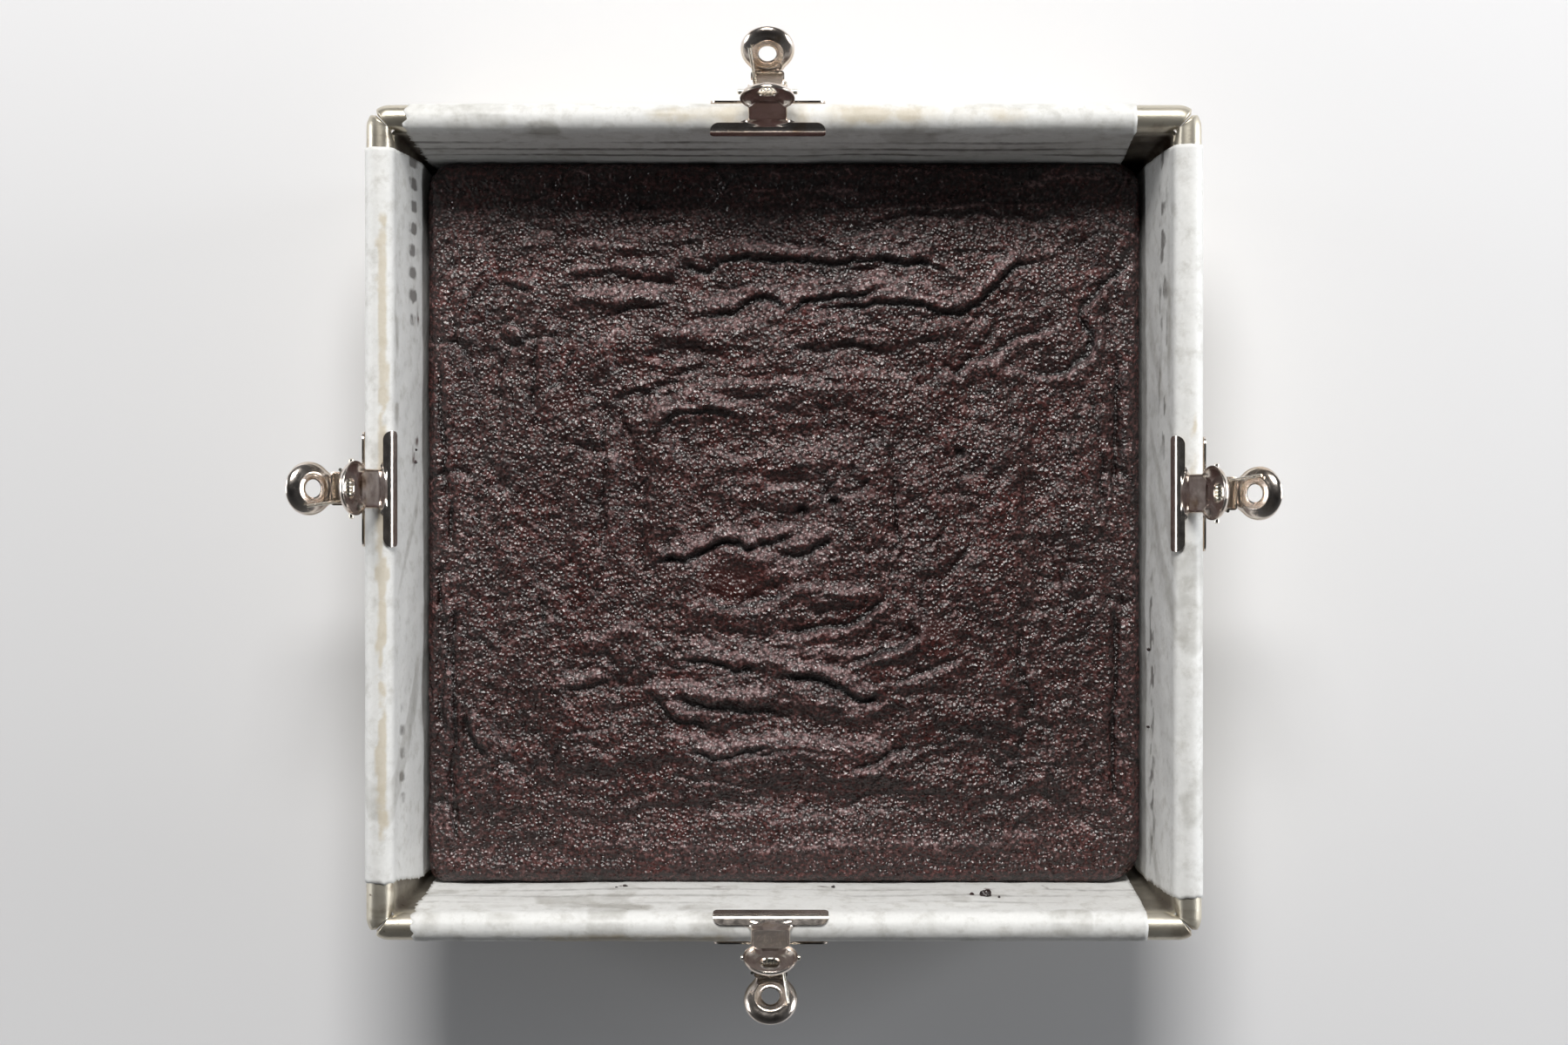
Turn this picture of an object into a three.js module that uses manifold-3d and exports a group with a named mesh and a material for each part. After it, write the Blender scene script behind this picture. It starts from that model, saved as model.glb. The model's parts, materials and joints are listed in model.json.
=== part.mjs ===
// An uncut chocolate brownie in its square folded-sheet baking pan, lined with two crossed strips of
// baking paper that four sprung hinge clips hold to the rolled rim.
// Millimetres, +Z up, +X right, +Y back. The origin is at the centre of the pan's underside.

import * as THREE from "three";
import { mergeVertices } from "three/addons/utils/BufferGeometryUtils.js";
import Module from "manifold-3d";

const wasm = await Module();
wasm.setup();

// ---------------------------------------------------------------- driving dimensions

// pan
const PAN_RIM_HALF = 114; // half the outer width over the rolled rim
const PAN_HEIGHT = 57;
const PAN_FLOOR_HALF = 101.6; // half the inner width at the floor (an 8 inch pan)
const SHEET = 1;
const BEAD_RADIUS = 3.8;
const BEAD_TURN = BEAD_RADIUS * Math.SQRT1_2; // radius of the bead's middle line round a corner of the rim
const PAN_INNER_CORNER = 1.2;
const BEAD_SIDES = 16;
const CORNER_STEPS = 3;

// lining
const PAPER = 0.3;
const GAP = 0.3; // air between pieces that lie against each other
const PAPER_BEND = 1.5;
const PAPER_HANG_ANGLE = -28; // where a strip ends on the outside of the rim, below level
const STRIP_FLOOR_HALF = 100;
const STRIP_FB_BACK = [-102.9, 95.9]; // left and right edges of the front-back strip at the back rim
const STRIP_FB_FRONT = [-99.9, 98.8];
const STRIP_LR_RIGHT = [-102.1, 102.6]; // front and back edges of the left-right strip at the right rim
const STRIP_LR_LEFT = [-98.1, 102];

// brownie
const CRUST_HEIGHT = 27; // mean height of the top crust above the pan's underside
const BROWNIE_SIDE_SHRINK = 1.1; // how far the left and right sides have drawn in from the paper
const BROWNIE_FOOT_RADIUS = 1.6;
const BROWNIE_EDGE_RADIUS = 1.8;
const BROWNIE_CORNERS = [7, 7, 5, 10]; // back-right, back-left, front-left, front-right
const CRUST_RINGS = 15;
const SIDE_POINTS = 12;
const CORNER_POINTS = 4;
const SWIRL_PITCH = 21; // distance between two turns of the spreading knife
const SWIRL_DEPTH = 0.45;

// creases and folds of the crust: from x, y to x, y, height (negative is a groove), half width
const FOLDS = [
  [-50, 66, 0, 74, -1.1, 5],
  [0, 74, 46, 70, -1.1, 5],
  [0, 60, 60, 63, 0.9, 5],
  [60, 63, 76, 76, 0.9, 5],
  [-97, 2, -95, -26, -1.0, 4],
  [-71, 50, -70, -38, -0.8, 5],
  [-50, 44, -51, -25, 0.8, 5],
  [86, 42, 88, -8, -0.9, 5],
  [-38, -10, -28, -13, -0.9, 4],
  [-18, -14, 2, -12, -1.4, 5],
  [-64, -34, 35, -38, 0.8, 5],
  [-58, -50, 38, -54, -0.8, 5],
  [-92, -60, -84, -70, -1.0, 4],
  [44, 46, 70, 47, 0.8, 5],
];
const BUMP = [-77, 55, 0.9, 4]; // a small button of batter: x, y, height, radius

// hinge clips
const CLIP_SHEET = 0.5;
const PIN_REACH = 11.5; // from the centre of the rolled rim to the hinge pin
const PIN_RADIUS = 0.7;
const PIN_LENGTH = 16.3;
const JAW_WIDTH = 31.4;
const JAW_CORNER = 2.3;
const NECK_WIDTH = 10.6;
const EAR_NEST = 0.8; // how much further in the ears of the outer half sit
const EAR_RADIUS = 1.9;
const EAR_LENGTH = [-4, 3];
const EAR_HOLE_RADIUS = 0.97;
const DISC_RADIUS = 7;
const DISC_EDGE_RADIUS = 6.7;
const DISC_DEPTH = 2.5;
const DISC_ANGLE = 13.5; // degrees the handle turns away from the middle plane
const DISC_CENTRE = [7.9, 6.3]; // along the clip from the pin, and away from its middle plane
const DISC_SIDES = 14;
const DISC_HOLE_RADIUS = 2.5;
const COLLAR = 0.5;
const NECK_HEIGHT = 4.7;
// the jaw, from its lip to where the neck starts: along the clip, and away from its middle plane
const JAW_LIP = [-12.9, 4.55];
const JAW_BEND = [-10.4, 5.1];
const JAW_ROOT = [-8.42, 3.61];
const NECK_SHOULDER = [-5.4, NECK_HEIGHT];
const WIRE_RADIUS = 0.44;
const COIL_RADIUS = 1.58;
const COIL_TURNS = 6.5;
const COIL_PITCH = 0.985;
const COIL_STEPS = 6; // per turn
const WIRE_SIDES = 5;
const LEG_OFFSET = 3.2; // how far each spring leg starts from the middle of the clip
const LEG_END_OFFSET = 4.8;
const LEG_END = [10.8, 6];

// where each clip sits: the side's direction in degrees, how far along the rim, anticlockwise, and the
// degrees between its middle plane and level
const CLIPS = [
  ["right", 0, 7.8, 58.5],
  ["back", 90, 4.4, 61.4],
  ["left", 180, -9.1, 58.5],
  ["front", 270, -3.6, 53.5],
];

// ---------------------------------------------------------------- derived sizes

const BEAD_X = PAN_RIM_HALF - BEAD_RADIUS;
const BEAD_Z = PAN_HEIGHT - BEAD_RADIUS;
const FLOOR_Z = SHEET;
const WALL_TILT = Math.atan((BEAD_X - BEAD_RADIUS - PAN_FLOOR_HALF) / (BEAD_Z - FLOOR_Z));
const WALL_SLOPE = Math.tan(WALL_TILT);
const DEGREE = Math.PI / 180;

// Half the inner width of the pan at a height, moved in from the sheet by a clearance.
function wallHalf(z, clearance) {
  return PAN_FLOOR_HALF + (z - FLOOR_Z) * WALL_SLOPE - clearance / Math.cos(WALL_TILT);
}

// ---------------------------------------------------------------- helpers

function mix(a, b, t) {
  return a + (b - a) * t;
}

function smooth(t) {
  const c = Math.min(1, Math.max(0, t));
  return c * c * (3 - 2 * c);
}

// A closed skin over rings of equal length, each end closed by a fan to a middle point.
function loft(rings, startPoint, endPoint) {
  const count = rings[0].length;
  const points = [startPoint, ...rings.flat(), endPoint];
  const index = [];
  const at = (ring, i) => 1 + ring * count + (i % count);
  for (let i = 0; i < count; i++) {
    index.push(0, at(0, i + 1), at(0, i));
    for (let ring = 0; ring + 1 < rings.length; ring++) {
      index.push(at(ring, i), at(ring, i + 1), at(ring + 1, i + 1));
      index.push(at(ring, i), at(ring + 1, i + 1), at(ring + 1, i));
    }
    index.push(points.length - 1, at(rings.length - 1, i), at(rings.length - 1, i + 1));
  }
  return new THREE.BufferGeometry().setFromPoints(points).setIndex(index);
}

// A rectangle with round corners at a height, anticlockwise from its back-right corner.
function roundedRing(halfX, halfY, radii, z, arcSteps, sidePoints) {
  const corners = [
    [1, 1],
    [-1, 1],
    [-1, -1],
    [1, -1],
  ];
  const arcs = corners.map(([sx, sy], corner) => {
    const radius = radii[corner];
    const arc = [];
    for (let step = 0; step <= arcSteps; step++) {
      const angle = (corner + step / arcSteps) * (Math.PI / 2);
      const x = sx * (halfX - radius) + radius * Math.cos(angle);
      const y = sy * (halfY - radius) + radius * Math.sin(angle);
      arc.push(new THREE.Vector3(x, y, z));
    }
    return arc;
  });
  return arcs.flatMap((arc, corner) => {
    const from = arc[arc.length - 1];
    const to = arcs[(corner + 1) % 4][0];
    const side = [];
    for (let i = 1; i <= sidePoints; i++) {
      side.push(from.clone().lerp(to, i / (sidePoints + 1)));
    }
    return [...arc, ...side];
  });
}

function solid(geometry) {
  const bare = geometry.clone();
  bare.deleteAttribute("normal");
  bare.deleteAttribute("uv");
  const merged = mergeVertices(bare, 1e-4);
  const vertProperties = merged.attributes.position.array;
  const triVerts = new Uint32Array(merged.index.array);
  return new wasm.Manifold(new wasm.Mesh({ numProp: 3, vertProperties, triVerts }));
}

function join(geometries) {
  return geometries.map(solid).reduce((a, b) => a.add(b));
}

function geometryOf(manifold) {
  const mesh = manifold.getMesh();
  const geometry = new THREE.BufferGeometry();
  geometry.setAttribute("position", new THREE.BufferAttribute(mesh.vertProperties, mesh.numProp));
  geometry.setIndex(new THREE.BufferAttribute(mesh.triVerts, 1));
  const flat = geometry.toNonIndexed();
  flat.computeVertexNormals();
  return flat;
}

// A flat outline pushed up by a height from z = 0.
function slab(outline, holes, height) {
  const shape = new THREE.Shape(outline.map(([x, y]) => new THREE.Vector2(x, y)));
  shape.holes = holes.map((hole) => new THREE.Path(hole.map(([x, y]) => new THREE.Vector2(x, y))));
  return new THREE.ExtrudeGeometry(shape, { depth: height, bevelEnabled: false, steps: 1 });
}

function circle(x, y, radius, sides) {
  const points = [];
  for (let i = 0; i < sides; i++) {
    const angle = (i / sides) * Math.PI * 2;
    points.push([x + radius * Math.cos(angle), y + radius * Math.sin(angle)]);
  }
  return points;
}

// The outline of a bent strip of sheet: its middle line given half the thickness to each side.
function bentStrip(line, thickness) {
  const left = [];
  const right = [];
  line.forEach(([x, y], i) => {
    const before = line[Math.max(0, i - 1)];
    const after = line[Math.min(line.length - 1, i + 1)];
    const inAngle = Math.atan2(y - before[1], x - before[0]);
    const outAngle = Math.atan2(after[1] - y, after[0] - x);
    const first = i === 0 ? outAngle : inAngle;
    const last = i === line.length - 1 ? inAngle : outAngle;
    const normal = (first + last) / 2 + Math.PI / 2;
    const reach = thickness / 2 / Math.cos((last - first) / 2);
    left.push([x + reach * Math.cos(normal), y + reach * Math.sin(normal)]);
    right.push([x - reach * Math.cos(normal), y - reach * Math.sin(normal)]);
  });
  return [...left, ...right.reverse()];
}

const part = new THREE.Group();

function addMesh(parent, name, geometry, colour, roughness, metalness) {
  const material = new THREE.MeshStandardMaterial({ color: colour, roughness, metalness });
  const mesh = new THREE.Mesh(geometry, material);
  mesh.name = name;
  parent.add(mesh);
  return mesh;
}

// ---------------------------------------------------------------- pan

// One folded sheet: floor and four sloping walls, thick as the sheet, open at the top.
function panShell() {
  const inner = Array(4).fill(PAN_INNER_CORNER);
  const outer = Array(4).fill(PAN_INNER_CORNER + SHEET);
  const foot = Array(4).fill(PAN_INNER_CORNER);
  const wallTop = BEAD_Z;
  const insideBead = 0.1;
  const ring = (half, radii, z) => roundedRing(half, half, radii, z, CORNER_STEPS, 1);
  const rings = [
    ring(wallHalf(0, -SHEET) - SHEET * 0.7, foot, 0),
    ring(wallHalf(SHEET * 0.7, -SHEET), outer, SHEET * 0.7),
    ring(wallHalf(wallTop, -SHEET), outer, wallTop),
    ring(wallHalf(wallTop, -insideBead), inner, wallTop),
    ring(wallHalf(FLOOR_Z, 0), inner, FLOOR_Z),
  ];
  return loft(rings, new THREE.Vector3(0, 0, 0), new THREE.Vector3(0, 0, FLOOR_Z));
}

// One straight length of the rolled rim, along X.
function beadLength(length) {
  const bead = new THREE.CylinderGeometry(BEAD_RADIUS, BEAD_RADIUS, length, BEAD_SIDES);
  bead.rotateZ(Math.PI / 2);
  return bead;
}

// A quarter turn of the bead about an upright axis, which makes a corner of the rolled rim.
function beadCorner() {
  const profile = [];
  const reach = 135;
  const steps = (2 * reach * BEAD_SIDES) / 360;
  for (let i = 0; i <= steps; i++) {
    const angle = mix(-reach, reach, i / steps) * DEGREE;
    const x = i === 0 || i === steps ? 0 : BEAD_TURN + BEAD_RADIUS * Math.cos(angle);
    profile.push(new THREE.Vector2(x, BEAD_RADIUS * Math.sin(angle)));
  }
  const full = new THREE.LatheGeometry(profile, BEAD_SIDES);
  full.rotateX(Math.PI / 2);
  const quarter = new THREE.BoxGeometry(20, 20, 20);
  quarter.translate(10, 10, 0);
  return geometryOf(solid(full).intersect(solid(quarter)));
}

function panGeometry() {
  const pieces = [panShell()];
  const straight = BEAD_X - BEAD_TURN;
  for (let side = 0; side < 4; side++) {
    const bead = beadLength(2 * straight);
    bead.translate(0, BEAD_X, BEAD_Z);
    bead.rotateZ((side * Math.PI) / 2);
    pieces.push(bead);
    const corner = beadCorner();
    corner.translate(straight, straight, BEAD_Z);
    corner.rotateZ((side * Math.PI) / 2);
    pieces.push(corner);
  }
  return geometryOf(join(pieces));
}

addMesh(part, "pan", panGeometry(), 0xa49c8c, 0.38, 0.9);

// ---------------------------------------------------------------- paper strips

// Half of a strip's run, from the floor up one wall and over the rim. Each station holds a point on the
// strip's middle line (distance from the pan's middle, height), the direction of its upper face, and how
// far it has climbed from the floor (0) to the rim (1).
function halfRun(floorClearance) {
  const radius = PAPER_BEND - PAPER / 2;
  const centreZ = FLOOR_Z + floorClearance + PAPER_BEND;
  const centreRun = wallHalf(centreZ, GAP + PAPER_BEND);
  const stations = [];
  const bendSteps = 3;
  for (let i = 0; i <= bendSteps; i++) {
    const angle = mix(-Math.PI / 2, -WALL_TILT, i / bendSteps);
    stations.push({
      run: centreRun + radius * Math.cos(angle),
      z: centreZ + radius * Math.sin(angle),
      up: [-Math.cos(angle), -Math.sin(angle)],
      climb: 0,
    });
  }
  const over = BEAD_RADIUS + GAP + PAPER / 2;
  const overSteps = 10;
  for (let i = 0; i <= overSteps; i++) {
    const angle = mix(Math.PI - WALL_TILT, PAPER_HANG_ANGLE * DEGREE, i / overSteps);
    stations.push({
      run: BEAD_X + over * Math.cos(angle),
      z: BEAD_Z + over * Math.sin(angle),
      up: [Math.cos(angle), Math.sin(angle)],
      climb: 1,
    });
  }
  return stations;
}

// A whole strip along +X: from the rim at -X, across the floor, to the rim at +X. Its two long edges
// widen from the floor to each rim.
function paperStrip(floorClearance, edgesAtStart, edgesAtEnd) {
  const half = halfRun(floorClearance);
  const startHalf = half.map((s) => ({ ...s, run: -s.run, up: [-s.up[0], s.up[1]], rim: edgesAtStart }));
  const endHalf = half.map((s) => ({ ...s, rim: edgesAtEnd }));
  const stations = [...startHalf.reverse(), ...endHalf];
  const rings = stations.map(({ run, z, up, climb, rim }) => {
    const low = mix(-STRIP_FLOOR_HALF, rim[0], climb);
    const high = mix(STRIP_FLOOR_HALF, rim[1], climb);
    const dx = (up[0] * PAPER) / 2;
    const dz = (up[1] * PAPER) / 2;
    return [
      new THREE.Vector3(run - dx, low, z - dz),
      new THREE.Vector3(run - dx, high, z - dz),
      new THREE.Vector3(run + dx, high, z + dz),
      new THREE.Vector3(run + dx, low, z + dz),
    ];
  });
  const middle = (ring) => ring[0].clone().add(ring[2]).multiplyScalar(0.5);
  return loft(rings, middle(rings[0]), middle(rings[rings.length - 1]));
}

// Turned a quarter anticlockwise, the strip's +X end goes to the back and its +Y edge to the left.
const frontBack = paperStrip(
  GAP,
  [-STRIP_FB_FRONT[1], -STRIP_FB_FRONT[0]],
  [-STRIP_FB_BACK[1], -STRIP_FB_BACK[0]],
);
frontBack.rotateZ(Math.PI / 2);
addMesh(part, "paper_front_back", geometryOf(solid(frontBack)), 0xd2d1cc, 0.55, 0);

const leftRight = paperStrip(GAP + PAPER + GAP, STRIP_LR_LEFT, STRIP_LR_RIGHT);
addMesh(part, "paper_left_right", geometryOf(solid(leftRight)), 0xd2d1cc, 0.55, 0);

// ---------------------------------------------------------------- brownie

function distanceToLine(x, y, x1, y1, x2, y2) {
  const length2 = (x2 - x1) ** 2 + (y2 - y1) ** 2;
  const t = ((x - x1) * (x2 - x1) + (y - y1) * (y2 - y1)) / length2;
  const c = Math.min(1, Math.max(0, t));
  return Math.hypot(x - mix(x1, x2, c), y - mix(y1, y2, c));
}

// Height of the crust: knife-spread swirl turns, folds and one button of batter.
function crustHeight(x, y) {
  const square = Math.pow(Math.pow(Math.abs(x), 3) + Math.pow(Math.abs(y), 3), 1 / 3);
  const turn = square / SWIRL_PITCH + Math.atan2(y, x) / (2 * Math.PI);
  const swirl = SWIRL_DEPTH * smooth(square / SWIRL_PITCH) * Math.cos(2 * Math.PI * turn);
  const folds = FOLDS.map(([x1, y1, x2, y2, height, width]) => {
    const distance = distanceToLine(x, y, x1, y1, x2, y2);
    return height * Math.exp(-((distance / width) ** 2));
  });
  const [bumpX, bumpY, bumpHeight, bumpRadius] = BUMP;
  const bump = bumpHeight * Math.exp(-(((x - bumpX) ** 2 + (y - bumpY) ** 2) / bumpRadius ** 2));
  return CRUST_HEIGHT + swirl + bump + folds.reduce((a, b) => a + b, 0);
}

function brownieGeometry() {
  const lining = GAP + PAPER + GAP;
  const footZ = FLOOR_Z + 2 * (GAP + PAPER) + GAP;
  const sideTop = CRUST_HEIGHT - BROWNIE_EDGE_RADIUS;
  const ring = (scale, inset, z, tall) => {
    const shrink = BROWNIE_SIDE_SHRINK * ((tall - footZ) / (CRUST_HEIGHT - footZ));
    const halfX = (wallHalf(tall, lining) - shrink - inset) * scale;
    const halfY = (wallHalf(tall, lining) - inset) * scale;
    const radii = BROWNIE_CORNERS.map((r) => Math.max(0.2, r - inset) * scale);
    return roundedRing(halfX, halfY, radii, z, CORNER_POINTS, SIDE_POINTS);
  };
  const rings = [
    ring(1, BROWNIE_FOOT_RADIUS, footZ, footZ),
    ring(1, 0.3 * BROWNIE_FOOT_RADIUS, footZ + 0.3 * BROWNIE_FOOT_RADIUS, footZ),
    ring(1, 0, footZ + BROWNIE_FOOT_RADIUS, footZ + BROWNIE_FOOT_RADIUS),
    ring(1, 0, sideTop, sideTop),
    ring(1, 0.3 * BROWNIE_EDGE_RADIUS, CRUST_HEIGHT - 0.3 * BROWNIE_EDGE_RADIUS, CRUST_HEIGHT),
  ];
  for (let i = CRUST_RINGS; i > 0; i--) {
    const flat = ring(i / CRUST_RINGS, BROWNIE_EDGE_RADIUS, 0, CRUST_HEIGHT);
    flat.forEach((p) => {
      p.z = crustHeight(p.x, p.y);
    });
    rings.push(flat);
  }
  return loft(rings, new THREE.Vector3(0, 0, footZ), new THREE.Vector3(0, 0, crustHeight(0, 0)));
}

addMesh(part, "brownie", geometryOf(solid(brownieGeometry())), 0x3c2a26, 0.5, 0);

// ---------------------------------------------------------------- hinge clips

// A clip's own frame has its pin on the Y axis, its handles towards +X and its middle plane at Z = 0.
// Each half is drawn with its sheet at +Z.

// Sideways outline of a piece, x along the clip and z away from the middle plane, given a width along Y.
function sideways(outline, holes, from, to) {
  const geometry = slab(outline, holes, to - from);
  geometry.rotateX(Math.PI / 2);
  geometry.translate(0, to, 0);
  return geometry;
}

// The round handle: a shallow cup with a collared hole, its floor on z = 0 and its rim towards +z.
function handleDisc() {
  const half = CLIP_SHEET / 2;
  const hole = DISC_HOLE_RADIUS;
  const profile = [
    [hole, -half],
    [DISC_RADIUS - half, -half],
    [DISC_RADIUS, half],
    [DISC_EDGE_RADIUS, DISC_DEPTH - half],
    [DISC_EDGE_RADIUS - CLIP_SHEET, DISC_DEPTH - half],
    [DISC_RADIUS - CLIP_SHEET, half],
    [hole + COLLAR, half],
    [hole, half + COLLAR],
    [hole, -half],
  ];
  const disc = new THREE.LatheGeometry(
    profile.map(([r, z]) => new THREE.Vector2(r, z)),
    DISC_SIDES,
  );
  disc.rotateX(Math.PI / 2);
  return disc;
}

// The flat blank of the jaw and neck: a wide bar with round corners and a narrower tongue.
function blankOutline(width) {
  const back = JAW_LIP[0] - 1;
  const front = JAW_ROOT[0];
  const side = JAW_WIDTH / 2;
  const corner = [];
  const steps = 3;
  for (let i = 0; i <= steps; i++) {
    const angle = (i / steps) * (Math.PI / 2);
    corner.push([front - JAW_CORNER + JAW_CORNER * Math.sin(angle), side - JAW_CORNER * (1 - Math.cos(angle))]);
  }
  const upper = [[back, side], ...corner, [front, width / 2], [DISC_CENTRE[0] - DISC_RADIUS + 3, width / 2]];
  const lower = upper.map(([x, y]) => [x, -y]).reverse();
  return [...lower, ...upper];
}

function clipHalf(neckWidth) {
  const angle = DISC_ANGLE * DEGREE;
  const along = (distance) => [
    DISC_CENTRE[0] + distance * Math.cos(angle),
    DISC_CENTRE[1] + distance * Math.sin(angle),
  ];
  const neckEnd = (NECK_HEIGHT - DISC_CENTRE[1]) / Math.sin(angle);
  const line = [JAW_LIP, JAW_BEND, JAW_ROOT, NECK_SHOULDER, along(neckEnd), along(-DISC_HOLE_RADIUS - COLLAR)];
  const bent = sideways(bentStrip(line, CLIP_SHEET), [], -JAW_WIDTH, JAW_WIDTH);
  const blank = slab(blankOutline(neckWidth), [], 2 * NECK_WIDTH);
  const plate = solid(bent).intersect(solid(blank));

  const disc = handleDisc();
  disc.rotateY(-angle);
  disc.translate(DISC_CENTRE[0], 0, DISC_CENTRE[1]);

  const ear = [
    [EAR_LENGTH[0], NECK_HEIGHT],
    [-EAR_RADIUS, 0.3],
    [-EAR_RADIUS * 0.7, -EAR_RADIUS * 0.7],
    [EAR_RADIUS * 0.7, -EAR_RADIUS * 0.7],
    [EAR_RADIUS, 0.3],
    [EAR_LENGTH[1], NECK_HEIGHT],
  ];
  const hole = circle(0, 0, EAR_HOLE_RADIUS, 8);
  const outside = neckWidth / 2;
  const leftEar = sideways(ear, [hole], outside - CLIP_SHEET, outside);
  const rightEar = sideways(ear, [hole], -outside, CLIP_SHEET - outside);
  return geometryOf(plate.add(solid(disc)).add(solid(leftEar)).add(solid(rightEar)));
}

function straightWire(from, to) {
  const path = new THREE.LineCurve3(from, to);
  const section = new THREE.Shape(circle(0, 0, WIRE_RADIUS, WIRE_SIDES).map(([x, y]) => new THREE.Vector2(x, y)));
  return new THREE.ExtrudeGeometry(section, { extrudePath: path, steps: 1, bevelEnabled: false });
}

// A spring leg lies on the middle side of its handle disc; this one is the inner half's.
const LEG_FROM = new THREE.Vector3(1.2, -LEG_OFFSET, COIL_RADIUS + 0.5);
const LEG_TO = new THREE.Vector3(LEG_END[0], -LEG_END_OFFSET, LEG_END[1]);

// Turns of the spring about the pin, running on into the leg of the inner half.
function springCoil() {
  class Coil extends THREE.Curve {
    getPoint(t, target = new THREE.Vector3()) {
      const turned = t * COIL_TURNS;
      const angle = (0.5 + 2 * turned) * Math.PI;
      const y = -LEG_OFFSET + turned * COIL_PITCH;
      return target.set(COIL_RADIUS * Math.cos(angle), y, COIL_RADIUS * Math.sin(angle));
    }
  }
  const coil = new Coil();
  const turns = Math.round(COIL_TURNS * COIL_STEPS);
  const rings = [];
  for (let i = 0; i <= turns; i++) {
    const centre = coil.getPoint(i / turns);
    const outward = new THREE.Vector3(centre.x, 0, centre.z).normalize();
    const ring = circle(0, 0, WIRE_RADIUS, WIRE_SIDES).map(([across, along]) =>
      centre
        .clone()
        .addScaledVector(outward, across)
        .add(new THREE.Vector3(0, along, 0)),
    );
    rings.push(ring);
  }
  const skin = loft(rings, coil.getPoint(0), coil.getPoint(1));
  return geometryOf(solid(skin).add(solid(straightWire(new THREE.Vector3(0, -LEG_OFFSET, COIL_RADIUS), LEG_TO))));
}

const innerHalf = clipHalf(NECK_WIDTH);
const outerHalf = clipHalf(NECK_WIDTH - 2 * EAR_NEST);
const coilGeometry = springCoil();
const legGeometry = geometryOf(solid(straightWire(LEG_FROM, LEG_TO)));

for (const [name, direction, along, leanAngle] of CLIPS) {
  const side = new THREE.Group();
  side.rotation.z = direction * DEGREE;
  const clip = new THREE.Group();
  const lean = leanAngle * DEGREE;
  clip.position.set(BEAD_X + PIN_REACH * Math.cos(lean), along, BEAD_Z + PIN_REACH * Math.sin(lean));
  clip.rotation.y = -lean;
  const outer = new THREE.Group();
  outer.rotation.x = Math.PI;
  part.add(side);
  side.add(clip);
  clip.add(outer);

  addMesh(clip, `clip_${name}_inner`, innerHalf, 0xb8b0a4, 0.28, 1);
  addMesh(outer, `clip_${name}_outer`, outerHalf, 0xb8b0a4, 0.28, 1);
  addMesh(outer, `clip_${name}_leg`, legGeometry, 0x9a958c, 0.3, 1);
  addMesh(clip, `clip_${name}_spring`, coilGeometry, 0x9a958c, 0.3, 1);
  const pin = new THREE.CylinderGeometry(PIN_RADIUS, PIN_RADIUS, PIN_LENGTH, 10);
  addMesh(clip, `clip_${name}_pin`, pin, 0x9a958c, 0.3, 1);
}

export default part;
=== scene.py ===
"""Looks for the brownie in its lined, clipped baking pan. Metres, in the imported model's frame."""

import json
from math import atan, atan2, copysign, cos, hypot, pi, radians, sin, sqrt, tan

import bmesh
import bpy
import numpy as np
from mathutils import Matrix, Vector


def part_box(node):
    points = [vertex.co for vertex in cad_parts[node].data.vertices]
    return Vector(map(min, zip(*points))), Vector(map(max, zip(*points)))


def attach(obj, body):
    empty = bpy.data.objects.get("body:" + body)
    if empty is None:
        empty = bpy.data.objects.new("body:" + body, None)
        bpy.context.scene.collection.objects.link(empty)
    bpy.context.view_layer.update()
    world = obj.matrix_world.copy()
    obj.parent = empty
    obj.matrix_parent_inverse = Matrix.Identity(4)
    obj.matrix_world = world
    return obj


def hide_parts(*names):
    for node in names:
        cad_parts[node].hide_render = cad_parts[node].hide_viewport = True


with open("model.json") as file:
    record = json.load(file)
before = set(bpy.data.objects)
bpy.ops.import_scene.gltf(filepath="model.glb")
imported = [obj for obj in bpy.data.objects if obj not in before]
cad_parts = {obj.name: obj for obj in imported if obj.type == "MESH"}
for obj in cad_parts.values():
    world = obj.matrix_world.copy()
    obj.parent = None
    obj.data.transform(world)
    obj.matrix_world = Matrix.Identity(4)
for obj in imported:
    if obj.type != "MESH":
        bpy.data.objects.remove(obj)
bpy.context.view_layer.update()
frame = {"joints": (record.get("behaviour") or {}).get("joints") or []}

scene = bpy.context.scene
ROOT = "pan_with_brownie"
MM = 0.001

# ---- driving dimensions, millimetres

PAN_BOX = [np.array(corner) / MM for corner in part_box("pan")]
RIM_HALF = PAN_BOX[1][0]
PAN_HEIGHT = PAN_BOX[1][2]
BEAD_RADIUS = 3.8
BEAD = RIM_HALF - BEAD_RADIUS
BEAD_Z = PAN_HEIGHT - BEAD_RADIUS
FLOOR_HALF = 101.6
SHEET = 1.0
WALL_TILT = atan((BEAD - BEAD_RADIUS - FLOOR_HALF) / (BEAD_Z - SHEET))
RIB_PITCH = 6.35
RIB_HEIGHT = 0.28
CRUST = 27.0
PAPER = 0.12


def wall_half(z, clearance=0.0):
    """Half the pan's inner width at a height, moved in from the sheet by a clearance."""
    return FLOOR_HALF + (z - SHEET) * tan(WALL_TILT) - clearance / cos(WALL_TILT)


# ---- noise and small sums


def mix(a, b, t):
    """a where t is 0, b where it is 1."""
    return a + (b - a) * t


def smooth(low, high, value):
    """0 below low, 1 above high, and smooth between."""
    t = np.clip((value - low) / (high - low), 0, 1)
    return t * t * (3 - 2 * t)


def bell(distance, width):
    """1 at no distance, falling away over a width."""
    return np.exp(-((distance / width) ** 2))


def lattice(i, j, seed):
    """A random number from -1 to 1 for each whole pair i, j."""
    h = i.astype(np.int64) * 374761393 + j.astype(np.int64) * 668265263 + seed * 974711
    h = (h ^ (h >> 13)) * 1274126177 & 0x7FFFFFFF
    h = (h ^ (h >> 16)) & 0xFFFF
    return h / 32767.5 - 1


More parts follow.
